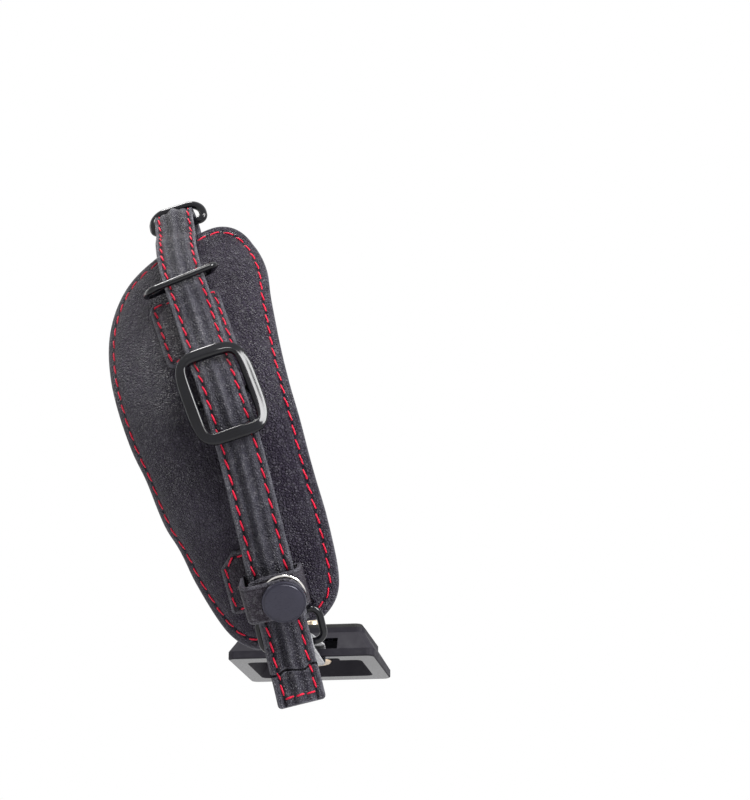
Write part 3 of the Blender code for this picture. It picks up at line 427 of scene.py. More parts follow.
def leather(name, dark, light, grain, depth, roughness, sheen, specular, fade=None, wrinkle=1.0):
    """Grained leather. `grain` is the size of a pebble in millimetres, `fade` smooths it downwards. Its
    colour holds painted light: painted sheen on flecks and pebbles, painted shade in the hollows and a
    painted highlight on the crests.
    """
    made = Shade(name)
    spot = made.warp(350.0 / grain, 0.0009 * grain)
    inputs = {"Vector": spot, "Scale": 1000.0 / grain, "Randomness": 1.0}
    cells = made.add("ShaderNodeTexVoronoi", inputs, feature="DISTANCE_TO_EDGE").outputs["Distance"]
    height = made.maths("MULTIPLY_ADD", made.noise(2600.0 / grain, 3.0), 0.8, made.spread(cells, 0.0, 0.25))
    creases = made.noise(330.0, 4.0, rough=0.66)
    # Random light flecks for painted sheen: a painted highlight, blended into the colour below, that fades
    # down the pad with the grain
    painted_sheen_flecks = made.spread(made.noise(620.0, 5.0, rough=0.72), 0.52, 0.68, 0.0, 0.75)
    if fade:
        level = made.add("ShaderNodeSeparateXYZ", {0: made.spot}).outputs["Z"]
        level = made.maths("MULTIPLY_ADD", made.noise(70.0, 2.0), 0.05, level)
        share = made.spread(level, *fade, 0.22, 1.0)
        height, creases, painted_sheen_flecks = (made.maths("MULTIPLY", it, share) for it in (height, creases, painted_sheen_flecks))
    normal = made.bump(creases, wrinkle, 0.0016)
    normal = made.bump(height, 0.8, depth, normal)
    colour = made.mottle(made.noise(45.0, 4.0, rough=0.6), dark, light)
    # Painted sheen: light flecks laid over the leather's colour
    colour = made.blend(painted_sheen_flecks, colour, rgb(0.095, 0.092, 0.104))
    # Painted shade: the lines between the pebbles are darkened, so that the pebbles' tops read lighter as
    # painted sheen
    colour = made.blend(made.spread(cells, 0.0, 0.12, 0.6, 0.0), colour, rgb(*dark, 0.25))
    # Painted shade: hollows of the mesh, found by pointiness, are darkened
    colour = made.blend(made.edges(0.498, 0.470), colour, rgb(*dark, 0.45))
    # Crests of the mesh are painted lighter: partly wear on the edges, partly a painted highlight on the
    # strap's ridge, puffs and edges
    lighter_crests = made.spread(made.noise(300.0, 3.0), 0.3, 0.7, 0.2, 0.8)
    lighter_crests = made.maths("MULTIPLY", made.edges(0.502, 0.535), lighter_crests)
    colour = made.blend(lighter_crests, colour, rgb(0.096, 0.095, 0.112))
    wear = made.spread(made.noise(90.0, 3.0), 0.3, 0.7, roughness - 0.07, roughness + 0.08)
    made.set(Base_Color=colour, Roughness=wear, Normal=normal)
    made.set(Sheen_Weight=sheen, Sheen_Roughness=0.45, Specular_IOR_Level=specular)
    return made.material


def thread(name, dark, light):
    """Twisted waxed thread."""
    made = Shade(name)
    turned = made.add("ShaderNodeMapping", {"Vector": made.spot, "Rotation": (0.6, 0.5, 0.35)})
    twist = made.wave(turned.outputs[0], 700.0, 1.5, 1.0)
    height = made.maths("MULTIPLY_ADD", made.noise(9000.0, 2.0), 0.4, twist)
    tone = made.maths("MULTIPLY_ADD", made.noise(220.0), 0.5, made.maths("MULTIPLY", twist, 0.5))
    colour = made.mottle(tone, dark, light, 0.2, 0.75)
    made.set(Base_Color=colour, Roughness=0.5, Normal=made.bump(height, 0.6, 0.00012))
    made.set(Sheen_Weight=0.05, Sheen_Roughness=0.5, Specular_IOR_Level=0.15)
    return made.material


def fabric(name, dark, light, pitch):
    """Woven cloth with a brushed surface. `pitch` is the yarns' distance in millimetres."""
    made = Shade(name)
    spot = made.warp(900.0, 0.0003)
    rows, picks = (made.wave(spot, 300.0 / pitch, 2.0, 2.0, bands_direction=way) for way in "ZX")
    weave = made.maths("MULTIPLY", rows, picks)
    height = made.maths("MULTIPLY_ADD", made.noise(6000.0, 3.0), 0.5, weave)
    tone = made.maths("MULTIPLY_ADD", weave, 0.4, made.noise(60.0, 4.0))
    colour = made.mottle(tone, dark, light, 0.3, 0.9)
    made.set(Base_Color=colour, Roughness=0.9, Normal=made.bump(height, 0.5, 0.0002))
    made.set(Sheen_Weight=0.4, Sheen_Roughness=0.6, Specular_IOR_Level=0.2)
    return made.material


def metal(name, dark, light, roughness, metallic, specular, brushed=0.0):
    """Plated or lacquered metal with fine scratches and rubbed edges."""
    made = Shade(name)
    stretched = made.add("ShaderNodeMapping", {"Vector": made.spot, "Scale": (1.0, 1.0, 12.0)})
    scratches = made.noise(900.0, 4.0, stretched.outputs[0], 0.7)
    peel = made.maths("MULTIPLY", made.noise(420.0, 2.0), 0.25)
    height = made.maths("MULTIPLY_ADD", scratches, brushed, peel)
    colour = made.mottle(made.noise(120.0, 3.0), dark, light)
    lighter_crests = made.spread(made.noise(500.0, 4.0), 0.5, 0.75, 0.0, 0.5)
    lighter_crests = made.maths("MULTIPLY", made.edges(0.53, 0.66), lighter_crests)
    colour = made.blend(lighter_crests, colour, rgb(*[min(1.0, c * 3 + 0.03) for c in light]))
    rough = made.spread(scratches, 0.3, 0.75, roughness * 0.8, roughness * 1.35)
    made.set(Base_Color=colour, Roughness=rough, Metallic=metallic)
    made.set(Normal=made.bump(height, 0.15, 0.00008), Specular_IOR_Level=specular)
    return made.material


def moulded(name, dark, light, roughness, grain, depth, specular, polished=None):
    """Plastic or rubber with a fine eroded surface. `polished` is the underside's own roughness."""
    made = Shade(name)
    texture = made.noise(1000.0 / grain, 4.0, rough=0.65)
    colour = made.mottle(made.noise(50.0, 3.0), dark, light)
    lighter_crests = made.spread(made.noise(400.0, 4.0), 0.4, 0.7, 0.0, 0.2)
    lighter_crests = made.maths("MULTIPLY", made.edges(0.52, 0.62), lighter_crests)
    colour = made.blend(lighter_crests, colour, rgb(0.05, 0.05, 0.055))
    rough = made.spread(made.noise(140.0, 4.0), 0.3, 0.7, roughness - 0.06, roughness + 0.08)
    if polished:
        facing = made.add("ShaderNodeNewGeometry").outputs["True Normal"]
        upward = made.add("ShaderNodeSeparateXYZ", {0: facing}).outputs["Z"]
        below = made.spread(upward, -0.8, -0.97)
        rough = made.maths("MULTIPLY_ADD", below, made.maths("SUBTRACT", polished, rough), rough)
    made.set(Base_Color=colour, Roughness=rough, Specular_IOR_Level=specular)
    made.set(Normal=made.bump(texture, 0.4, depth))
    return made.material


PAD_SKIN = leather(
    "pad_leather_grain", (0.013, 0.010, 0.018), (0.028, 0.022, 0.038), 1.0, 0.00110, 0.31, 0.0, 0.13,
    fade=(-0.02, 0.09),
)
STRAP_SKIN = leather(
    "strap_leather_grain", (0.016, 0.015, 0.022), (0.038, 0.036, 0.049), 0.8, 0.00040, 0.25, 0.0, 0.18,
    wrinkle=0.45,
)
PATCH_SKIN = leather(
    "patch_leather_grain", (0.016, 0.012, 0.019), (0.030, 0.024, 0.035), 0.9, 0.00045, 0.36, 0.02, 0.14
)
RED_THREAD = thread("red_thread", (0.26, 0.002, 0.016), (0.62, 0.008, 0.040))
LINING_CLOTH = fabric("lining_cloth", (0.012, 0.012, 0.013), (0.034, 0.033, 0.035), 0.6)
WEBBING_CLOTH = fabric("webbing_yarn", (0.07, 0.07, 0.08), (0.24, 0.24, 0.26), 0.5)
BLACK_GLOSS = metal("black_nickel", (0.002, 0.002, 0.003), (0.004, 0.004, 0.006), 0.12, 0.0, 0.28)
CAP_SATIN = metal("cap_lacquer", (0.017, 0.016, 0.027), (0.025, 0.024, 0.038), 0.30, 0.35, 0.35, 0.5)
BRIGHT = metal("bright_nickel", (0.62, 0.60, 0.58), (0.76, 0.73, 0.70), 0.14, 1.0, 0.5, 0.5)
BRASS = metal("turned_brass", (0.70, 0.54, 0.38), (0.86, 0.71, 0.54), 0.27, 1.0, 0.5, 0.8)
PLASTIC = moulded(
    "moulded_plastic", (0.007, 0.006, 0.010), (0.012, 0.011, 0.016), 0.66, 0.35, 0.00005, 0.20, 0.14
)
RUBBER = moulded("seat_rubber", (0.012, 0.012, 0.012), (0.022, 0.022, 0.022), 0.78, 0.25, 0.00008, 0.25)


# Stitches


def stitch_bodies(path, pitch=5.0, share=0.86, radius=0.30, slant=9.0, rise=0.30):
    """Short thread bodies along (point, normal) samples, each with its ends in the leather."""
    lengths = [0.0]
    for (before, _), (after, _) in zip(path, path[1:]):
        lengths.append(lengths[-1] + (after - before).length)
    total = lengths[-1]
    count = max(1, round(total / pitch))
    step = total / count

    def read(at):
        at = min(max(at, 0.0), total)
        k = min(max(bisect_left(lengths, at) - 1, 0), len(lengths) - 2)
        part = (at - lengths[k]) / max(lengths[k + 1] - lengths[k], 1e-6)
        point = path[k][0].lerp(path[k + 1][0], part)
        return point, path[k][1].lerp(path[k + 1][1], part).normalized()

    reach = step * share / 2
    for index in range(count):
        middle = (index + 0.5) * step
        centre, up = read(middle)
        ahead = (read(middle + reach)[0] - read(middle - reach)[0]).normalized()
        aside = up.cross(ahead).normalized()
        lean = math.tan(math.radians(slant + 5.0 * noise.noise(centre * 0.37)))
        stations = []
        for t in spread(-1.0, 1.0, 0.25):
            point, normal = read(middle + t * reach)
            lift = rise * (1 - abs(t) ** 2.6) - 0.30 * abs(t) ** 6
            core = point + aside * (t * reach * lean) + normal * (lift - 0.12)
            thick = radius * (1.0 - 0.30 * t ** 4)
            stations.append([core + aside * c * thick + normal * s * thick * 0.85 for c, s in circle(8)])
        yield stations


def stitches(name, paths, **options):
    verts = []
    faces = []
    for path in paths:
        for stations in stitch_bodies(path, **options):
            more, joined = sweep_data(stations, base=len(verts))
            verts += more
            faces += joined
    finish_piece(name, mesh_of(name, verts, faces), RED_THREAD)


# Pad


def pad_edge(sides):
    """Outline of the pad as (point, inward direction) in its flat pattern."""
    pattern = [(*p, 0.0) for p in PAD_PATTERN]
    points = [catmull(pattern, k * len(pattern) / sides, closed=True) for k in range(sides)]
    made = []
    for k, point in enumerate(points):
        ahead = (points[(k + 1) % sides] - points[k - 1]).normalized()
        inward = Vector((-ahead.y, ahead.x, 0.0))
        made.append((point, -inward if inward.dot(PAD_CENTRE - point) < 0 else inward))
    return made


def pad_spots(sides, insets, shares=()):
    """Loops of (spot, ring, inset): first parallel to the edge, then shrinking to the centre."""
    edge = pad_edge(sides)
    loops = []
    for inset in insets:
        loops.append([(p + n * inset, 1.0 - inset / (p - PAD_CENTRE).length, inset) for p, n in edge])
    for share in shares:
        loop = []
        for point, inward in edge:
            start = point + inward * PAD_INSET
            ring = (1.0 - PAD_INSET / (point - PAD_CENTRE).length) * (1 - share)
            spot = start.lerp(PAD_CENTRE, share)
            loop.append((spot, ring, PAD_INSET + share * (start - PAD_CENTRE).length))
        loops.append(loop)
    return loops


def crown(ring):
    """Fall of the pad's faces from its middle, nought, to its edge."""
    return -PAD_CROWN * ring ** 4


def cover_height(spot, ring, inset):
    """Outer face of the pad: a flat hem, a pulled-in seam and a soft crown."""
    hem = -0.12 - fillet(inset, 0.7, 0.30)
    seam = -0.42 * bell(inset - PAD_SEAM_INSET, 0.75)
    swell = 0.34 * bell(inset - 8.0, 3.4) * (0.3 if abs(spot.x) < 10 else 1.0)
    wave = 0.16 * waver(spot.x, spot.y, 3.1, 16.0) * min(1.0, max(0.0, inset - 3.5) / 6)
    return crown(ring) + min(0.0, hem + inset * 0.04) + seam + swell + wave


def back_height(ring, inset):
    """Inner face of the lining, which the foam fills out."""
    foam = PAD_FOAM * max(0.0, 1.0 - (ring / 0.96) ** 6)
    loose = SEAM * min(1.0, max(0.0, (1.0 - ring) / 0.12))
    seam = 0.25 * bell(inset - PAD_SEAM_INSET, 0.8)
    return crown(ring) - PAD_LEATHER - SEAM - foam - loose - PAD_LINING + seam


def layer_face(loops, height):
    """Points of the loops, each raised by height(spot, ring, inset)."""
    return [[place(s.x, s.y, height(s, r, i)) for s, r, i in loop] for loop in loops]


def closed_layer(top, low, rim=()):
    """Points and faces of a layer with two faces, joined by extra rim loops at its edge."""
    verts = []
    faces = []
    sides = len(top[0])

    def add(loop):
        verts.extend(loop)
        return len(verts) - len(loop)

    def bridge(starts):
        for first, second in zip(starts, starts[1:]):
            for k in range(sides):
                n = (k + 1) % sides
                faces.append((first + k, first + n, second + n, second + k))

    def cover(loops):
        starts = [add(loop) for loop in loops]
        bridge(starts)
        hub = add([sum(loops[-1], Vector()) / sides])
        for k in range(sides):
            faces.append((starts[-1] + k, starts[-1] + (k + 1) % sides, hub))
        return starts[0]

    bridge([cover(top)] + [add(loop) for loop in rim] + [cover(low)])
    return verts, faces


def inflated_movement():
    """Swell of the pad, from a remeshed copy of it that is blown up as cloth. A list of (point, movement)."""
    loops = pad_spots(90, (0.0, 2.0, 4.5), (0.0, 0.2, 0.4, 0.6, 0.8))
    top = layer_face(loops, lambda s, r, i: crown(r) - 0.5)
    low = layer_face(loops, lambda s, r, i: back_height(r, i) + 0.3)
    blank = linked("pad_blank", mesh_of("pad_blank", *closed_layer(top, low)))
    remesh = blank.modifiers.new("remesh", "REMESH")
    remesh.mode = "VOXEL"
    remesh.voxel_size = SIM_VOXEL
    graph = bpy.context.evaluated_depsgraph_get()
    blank.data = bpy.data.meshes.new_from_object(blank.evaluated_get(graph))
    blank.modifiers.clear()
    edge = kdtree.KDTree(len(loops[0]))
    for k, (spot, _, _) in enumerate(loops[0]):
        edge.insert(place(spot.x, spot.y, -3.0) * MM, k)
    edge.balance()
    held = blank.vertex_groups.new(name="held")
    held.add([v.index for v in blank.data.vertices if edge.find(v.co)[2] < SIM_HELD], 1.0, "REPLACE")
    before = [vertex.co.copy() for vertex in blank.data.vertices]
    cloth = blank.modifiers.new("cloth", "CLOTH").settings
    cloth.quality = 5
    cloth.mass = 0.01
    cloth.use_pressure = True
    cloth.uniform_pressure_force = SIM_PRESSURE
    cloth.effector_weights.gravity = 0.0
    cloth.vertex_group_mass = "held"
    for step in range(SIM_STEPS):
        bpy.context.scene.frame_set(step + 1)
    graph = bpy.context.evaluated_depsgraph_get()
    after = bpy.data.meshes.new_from_object(blank.evaluated_get(graph))
    moves = [(a.co - b) / MM for a, b in zip(after.vertices, before)]
    longest = max(move.length for move in moves)
    print("pad blank:", len(moves), "points, longest swell", round(longest, 4), "mm")
    scale = SIM_CAP / longest if longest > 1e-6 else 0.0
    bpy.data.objects.remove(blank)
    bpy.context.scene.frame_set(1)
    return [(point / MM, move * scale) for point, move in zip(before, moves)]


def swell_reader():
    """Function that gives the simulated swell at a point along a direction."""
    moved = inflated_movement()
    tree = kdtree.KDTree(len(moved))
    for k, (point, _) in enumerate(moved):
        tree.insert(point, k)
    tree.balance()

    def read(point, out):
        total = 0.0
        weight = 0.0
        for _, k, distance in tree.find_n(point, 5):
            share = 1.0 / (distance + 0.5)
            total += moved[k][1].dot(out) * share
            weight += share
        return total / weight

    return read


def build_pad():
    swell = swell_reader()

    def cover_point(spot, ring, inset):
        out = lean_at(spot.x, spot.y)
        under_strap = 1.0 - 0.8 * min(1.0, max(0.0, (13.0 - abs(spot.x)) / 4))
        soft = min(1.0, max(0.0, inset - PAD_SEAM_INSET) / 5) * under_strap
        point = place(spot.x, spot.y, cover_height(spot, ring, inset))
        return point + out * min(0.45, swell(point, out)) * soft

    def rim(sides, steps):
        edge = pad_edge(sides)
        return [[place(*(p + n * inset).xy, height - PAD_CROWN) for p, n in edge] for inset, height in steps]

    loops = pad_spots(
        PAD_SIDES,
        (0.35, 0.8, 1.4, 2.0, 2.5, 2.9, 3.3, 3.7, 4.2, 4.8, 5.5, 6.2),
        (0.0, 0.03, 0.07, 0.12, 0.18, 0.25, 0.33, 0.42, 0.52, 0.63, 0.75, 0.88),
    )
    top = [[cover_point(*item) for item in loop] for loop in loops]
    low = layer_face(loops, lambda s, r, i: crown(r) - PAD_LEATHER + 0.1)
    mesh = mesh_of("pad_cover", *closed_layer(top, low, rim(PAD_SIDES, ((0.1, -0.47), (0.0, -0.75)))))
    cover = finish_piece("pad_cover", mesh, PAD_SKIN, ("pad_leather", "pad_foam"))

    inner = pad_spots(
        LINING_SIDES, (0.5, 1.2, 2.2, 3.3, 4.4, 5.6), (0.0, 0.06, 0.14, 0.24, 0.36, 0.5, 0.66, 0.84)
    )
    below = layer_face(inner, lambda s, r, i: back_height(r, i))
    above = layer_face(inner, lambda s, r, i: back_height(r, i) + PAD_LINING * 0.8)
    steps = [(0.15, -PAD_LEATHER - SEAM - level) for level in (0.75, 0.3)]
    mesh = mesh_of("pad_lining_cloth", *closed_layer(below, above, rim(LINING_SIDES, steps)))
    finish_piece("pad_lining_cloth", mesh, LINING_CLOTH, ("pad_lining",))

    path = []
    back = []
    for spot, ring, inset in pad_spots(2 * PAD_SIDES, (PAD_SEAM_INSET,))[0]:
        out = lean_at(spot.x, spot.y)
        path.append((place(spot.x, spot.y, cover_height(spot, ring, inset)), out))
        back.append((place(spot.x, spot.y, back_height(ring, inset)), -out))
    stitches("pad_stitches", [path + path[:1]], pitch=4.9)
    stitches("pad_back_stitches", [back + back[:1]], pitch=4.9)


# Patches


def build_patch(name, replaced, top, bottom, left, right, chamfer, radius):
    """Leather patch sewn on the pad, with a pressed seam line near its edge."""
    inset = 1.7

    def corner(distance):
        if distance >= radius:
            return 0.0
        return radius - math.sqrt(max(0.0, radius ** 2 - (radius - distance) ** 2))

    def sides_at(along):
        ends = corner(min(along - top, bottom - along) + 0.02)
        return -left + max(ends, chamfer - (along - top)), right - ends

    def height(across, along):
        low, high = sides_at(along)
        near = min(across - low, high - across, along - top, bottom - along)
        if chamfer:
            near = min(near, ((across + left) + (along - top) - chamfer) / math.sqrt(2))
        near = max(near, 0.0)
        seam = 0.28 * bell(near - inset, 0.45)
        return GAP + 1.0 - fillet(near, 0.6, 0.35) - seam + 0.05 * waver(across, along, 7.7, 6.0)

    stations = []
    columns = 44
    for along in spread(top, bottom, 0.55):
        low, high = sides_at(along)
        line = [low + (high - low) * k / columns for k in range(columns + 1)]
        ring = [place(across, along, GAP - 0.35) for across in line[::4]]
        stations.append(ring + [place(across, along, height(across, along)) for across in line[::-1]])
    sweep(name, stations, PATCH_SKIN, (replaced,))

    slope = chamfer * 0.7
    route = (
        (-left + inset, bottom - inset),
        (-left + inset, top + inset + slope),
        (-left + inset + slope, top + inset),
        (right - inset, top + inset),
        (right - inset, bottom - inset),
        (-left + inset, bottom - inset),
    )
    path = []
    for start, stop in zip(route, route[1:]):
        for k in range(24):
            x, y = Vector(start).lerp(Vector(stop), k / 24)
            path.append((place(x, y, height(x, y)), lean_at(x, y)))
    stitches(name + "_stitches", [path], pitch=4.6)


# Straps


def strip_section(half, low, thick, columns, relief=lambda across: 0.0):
    """Closed section of a leather strip as (across, height), with rounded edges."""
    ring = [(-half + 0.25, low), (-half * 0.5, low), (0.0, low), (half * 0.5, low), (half - 0.25, low)]
    ring += [(half - 0.06, low + 0.12), (half, low + thick * 0.4)]
    for k in range(columns, -1, -1):
        across = -half + 2 * half * k / columns
        ring.append((across, low + thick - fillet(half - abs(across), 0.7, 0.45) + relief(across)))
    return ring + [(-half, low + thick * 0.4), (-half + 0.06, low + 0.12)]


def station_at(along):
    """Station of the long strap: place, direction across, outward direction, width and mark."""
    _, side, out = LINE.frame(along)
    where = LINE.at(along) + out * ease(STRAP_HEIGHTS, along)
    return where, side, out, strap_width(along), along


def strap_stations():
    """Stations of the long strap's inner face, from the tail to the hidden end."""
    path = [station_at(STRAP_TAIL - back) for back in (0.0, 0.15, 0.4, 0.8, 1.3, 2.0)]
    for start, stop, step in (
        (STRAP_TAIL - 3.0, CREASE + 2.2, 1.0),
        (CREASE + 2.0, CREASE - 2.0, 0.16),
        (CREASE - 2.4, STRAP_FOLD, 0.9),
    ):
        path += [station_at(along) for along in spread(start, stop, step)]
    forward, side, out = LINE.frame(STRAP_FOLD)
    hub = LINE.at(STRAP_FOLD) + out * GAP - out * FOLD_RADIUS
    for turn in spread(0.0, 180.0, 9.0)[1:]:
        angle = math.radians(turn)
        lean = out * math.cos(angle) - forward * math.sin(angle)
        path.append((hub + lean * FOLD_RADIUS, side, lean, STRAP_TOP_WIDTH, STRAP_FOLD - FOLD_RADIUS * angle))
    for along in spread(STRAP_FOLD, STRAP_FOLD + RETURN_LENGTH, 2.0)[1:]:
        _, side, out = LINE.frame(along)
        where = LINE.at(along) + out * (GAP - 2 * FOLD_RADIUS)
        path.append((where, side, -out, STRAP_TOP_WIDTH, -along))
    return path


def face_relief(across, mark):
    """Relief of the strap's face: pressed seams, a ridge along the middle, soft waves and the crease near the
    tail.

    The middle is pressed flat under the keeper, the buckle's ends and the tab.
    """
    pressed = min(1.0, sum(bell(mark - spot, reach) for spot, reach in PRESSED))
    seams = 0.50 * bell(abs(across) - STITCH_ROW, 0.55)
    middle = (1.45 - 0.8 * pressed) * bell(across, 1.7) + 0.34 * bell(abs(across) - 3.4, 0.9)
    wave = 0.20 * waver(across, mark, 1.7, 6.0) + 0.16 * waver(0.0, mark, 4.2, 9.0)
    bent = CREASE + 0.7 * math.sin(across * 0.75) + 0.3 * waver(across, 0.0, 9.1, 2.5)
    return middle - seams + wave - 0.95 * bell(mark - bent, 0.42)


def build_long_strap():
    path = strap_stations()
    for name, replaced, low, thick, columns, narrower in (
        ("strap_face", "strap_face_ply", 1.3, 1.1, 46, 0.0),
        ("strap_back", "strap_back_ply", 0.0, 1.0, 10, 0.15),
    ):
        stations = []
        for where, side, out, width, mark in path:
            half = width / 2 - narrower
            to_end = STRAP_TAIL - mark
            if to_end < TAIL_CORNER:
                inward = TAIL_CORNER - to_end - 0.05
                half -= TAIL_CORNER - math.sqrt(max(0.0, TAIL_CORNER ** 2 - inward ** 2))
            thin = thick * (0.72 if to_end <= 0.0 else 1.0)
            options = {"relief": lambda a, m=mark: face_relief(a, m)} if name == "strap_face" else {}
            section = strip_section(half, low, thin, columns, **options)
            stations.append([where + side * a + out * b for a, b in section])
        sweep(name, stations, STRAP_SKIN, (replaced,))

    def on_face(station, across, lift):
        where, side, out, _, mark = station
        return where + side * across + out * (lift + face_relief(across, mark)), out

    first = STRAP_FOLD - FOLD_RADIUS * math.radians(170)
    sewn = [station for station in path if first <= station[4] <= STRAP_TAIL - END_STITCH_ROW]
    both = (-STITCH_ROW, STITCH_ROW)
    rows = [[on_face(station, row, STRAP_THICK + 0.05) for station in sewn] for row in both]
    last = station_at(STRAP_TAIL - END_STITCH_ROW)
    end = [on_face(last, -STITCH_ROW + 2 * STITCH_ROW * k / 11, STRAP_THICK + 0.05) for k in range(12)]
    stitches("strap_stitches", rows, pitch=4.9)
    stitches("strap_end_stitches", [end], pitch=3.3, slant=4.0)


def ring_hub():
    """Middle of the lower ring's upper bar."""
    _, side, out = LINE.frame(UNDER_END)
    low = ease(UNDER_HEIGHTS, UNDER_END) - GAP - LOWER_WIRE / 2
    return LINE.at(UNDER_END) + side * ease(UNDER_DRIFT, UNDER_END) + out * low


def build_under_strap():
    stations = []
    for along in spread(UNDER_START, UNDER_END, 1.6):
        _, side, out = LINE.frame(along)
        base = LINE.at(along) + side * ease(UNDER_DRIFT, along) + out * ease(UNDER_HEIGHTS, along)
        section = strip_section(strap_width(along) / 2 - UNDER_NARROWER, 0.0, UNDER_LEATHER, 12)
        stations.append([base + side * a + out * b for a, b in section])
    forward, side, out = LINE.frame(UNDER_END)
    hub = ring_hub()
    half = strap_width(UNDER_END) / 2 - UNDER_NARROWER
    section = strip_section(half, LOWER_WIRE / 2 + GAP, UNDER_LEATHER, 12)
    for turn in spread(0.0, 200.0, 8.0)[1:]:
        angle = math.radians(turn)
        lean = out * math.cos(angle) + forward * math.sin(angle)
        stations.append([hub + side * a + lean * b for a, b in section])
    sweep("under_strap_leather", stations, STRAP_SKIN, ("under_strap",))


# Snap tab and snap

TAB_PLACE = 163.5
TAB_HALF = 6.5
TAB_LEATHER = 1.1
TAB_BACK_REACH = 7.0
TAB_SIDE = 1.9
TAB_BEND = 1.6
TAB_END_MARGIN = 0.2
TAB_UNDER = 1.8
SNAP_TILT = 12.0
SNAP_ACROSS = 3.0
SNAP_BELOW = 0.5
SNAP_PLACE = TAB_PLACE + SNAP_BELOW
CAP_RADIUS = 7.0
CAP_DOME = 66
STUD_DISC = 0.8
SOCKET = 1.7
ON_STRAP = STRAP_THICK + RIDGE + GAP
TAB_BACK = max(
    ease(STRAP_HEIGHTS, TAB_PLACE + TAB_HALF) + ON_STRAP + math.sin(math.radians(SNAP_TILT)) * TAB_HALF,
    ease(STRAP_HEIGHTS, TAB_PLACE) + ON_STRAP + 0.6 + SEAM,
)
TAB_FLAP = TAB_BACK + TAB_LEATHER + SEAM + STUD_DISC + SEAM + SOCKET + SEAM


def snap_frame():
    """Middle of the flap and the directions of the tilted snap: down the strap, across, outwards."""
    forward, side, out = LINE.frame(TAB_PLACE)
    centre = LINE.at(TAB_PLACE) + side * SNAP_ACROSS + forward * SNAP_BELOW + out * TAB_FLAP
    spun = Matrix.Rotation(math.radians(SNAP_TILT), 3, side)
    return centre, spun @ forward, side, spun @ out


def tab_point(across, along, height, tilted):
    """Point of the tab, between the straps' own directions and the tilted snap's."""
    centre, forward, side, out = snap_frame()
    inside = side * (across - SNAP_ACROSS) + forward * (along - SNAP_PLACE)
    return flat_place(across, along, height).lerp(centre + inside + out * (height - TAB_FLAP), tilted)


def tab_route():
    """Run of the tab round both straps as (across, height, share of the snap's tilt)."""
    side = strap_width(TAB_PLACE) / 2 + TAB_SIDE
    b = TAB_BEND
    low, mid, high = (level + TAB_LEATHER / 2 for level in (TAB_UNDER, TAB_BACK, TAB_FLAP))

    def turn(sign, top):
        """Run at one side, from the layer at `top` to the one under the straps."""
        return [
            (sign * (side - 2 * b), top, 1.0),
            (sign * (side - b * 0.6), top - b * 0.4, 0.9),
            (sign * side, top - b * 1.4, 0.7),
            (sign * side, (low + top) / 2, 0.4),
            (sign * side, low + b * 1.2, 0.1),
            (sign * (side - b * 0.5), low + b * 0.3, 0.0),
            (sign * (side - 2 * b), low, 0.0),
        ]

    start = [(-TAB_BACK_REACH, mid, 1.0), (0.0, mid, 1.0)]
    stop = [(SNAP_ACROSS, high, 1.0), (SNAP_ACROSS + CAP_RADIUS + TAB_END_MARGIN, high, 1.0)]
    return start + turn(1, mid) + [(0.0, low, 0.0)] + turn(-1, high)[::-1] + stop


def build_tab():
    """Band round both straps whose right end lies on them and whose left end snaps over it."""
    corners = tab_route()
    spans = len(corners) - 1
    radius = CAP_RADIUS + TAB_END_MARGIN
    marks = spread(0.0, spans - 1, 1 / 7)
    marks += [spans - 1 + math.sin(math.radians(d)) for d in range(6, 88, 6)] + [spans - 0.001]
    route = [catmull(corners, k) for k in marks]
    stations = []
    for k, (a, h, tilted) in enumerate(route):
        run = (route[min(k + 1, len(route) - 1)] - route[max(k - 1, 0)]).xy.normalized()
        rise = Vector((-run.y, run.x))
        centre = Vector((a, h))
        reach = TAB_HALF
        middle = TAB_PLACE
        if a > SNAP_ACROSS and h > TAB_FLAP:
            round_reach = math.sqrt(max(0.01, radius ** 2 - (a - SNAP_ACROSS) ** 2))
            start = max(TAB_PLACE - TAB_HALF, SNAP_PLACE - round_reach)
            stop = min(TAB_PLACE + TAB_HALF, SNAP_PLACE + round_reach)
            reach = (stop - start) / 2
            middle = (start + stop) / 2
        elif k < 6:
            reach -= 1.2 * (1 - k / 6) ** 2
        ring = []
        for share in spread(-1.0, 1.0, 0.25):
            spot = centre - rise * (TAB_LEATHER / 2)
            ring.append(tab_point(spot.x, middle + share * (reach - 0.1), spot.y, tilted))
        for share in spread(1.0, -1.0, 0.09):
            near = (1 - abs(share)) * reach
            spot = centre + rise * (TAB_LEATHER / 2 - fillet(near, 0.6, 0.35) - 0.14 * bell(near - 1.1, 0.3))
            ring.append(tab_point(spot.x, middle + share * reach, spot.y, tilted))
        stations.append(ring)
    sweep("snap_tab_leather", stations, PATCH_SKIN, ("snap_tab",))


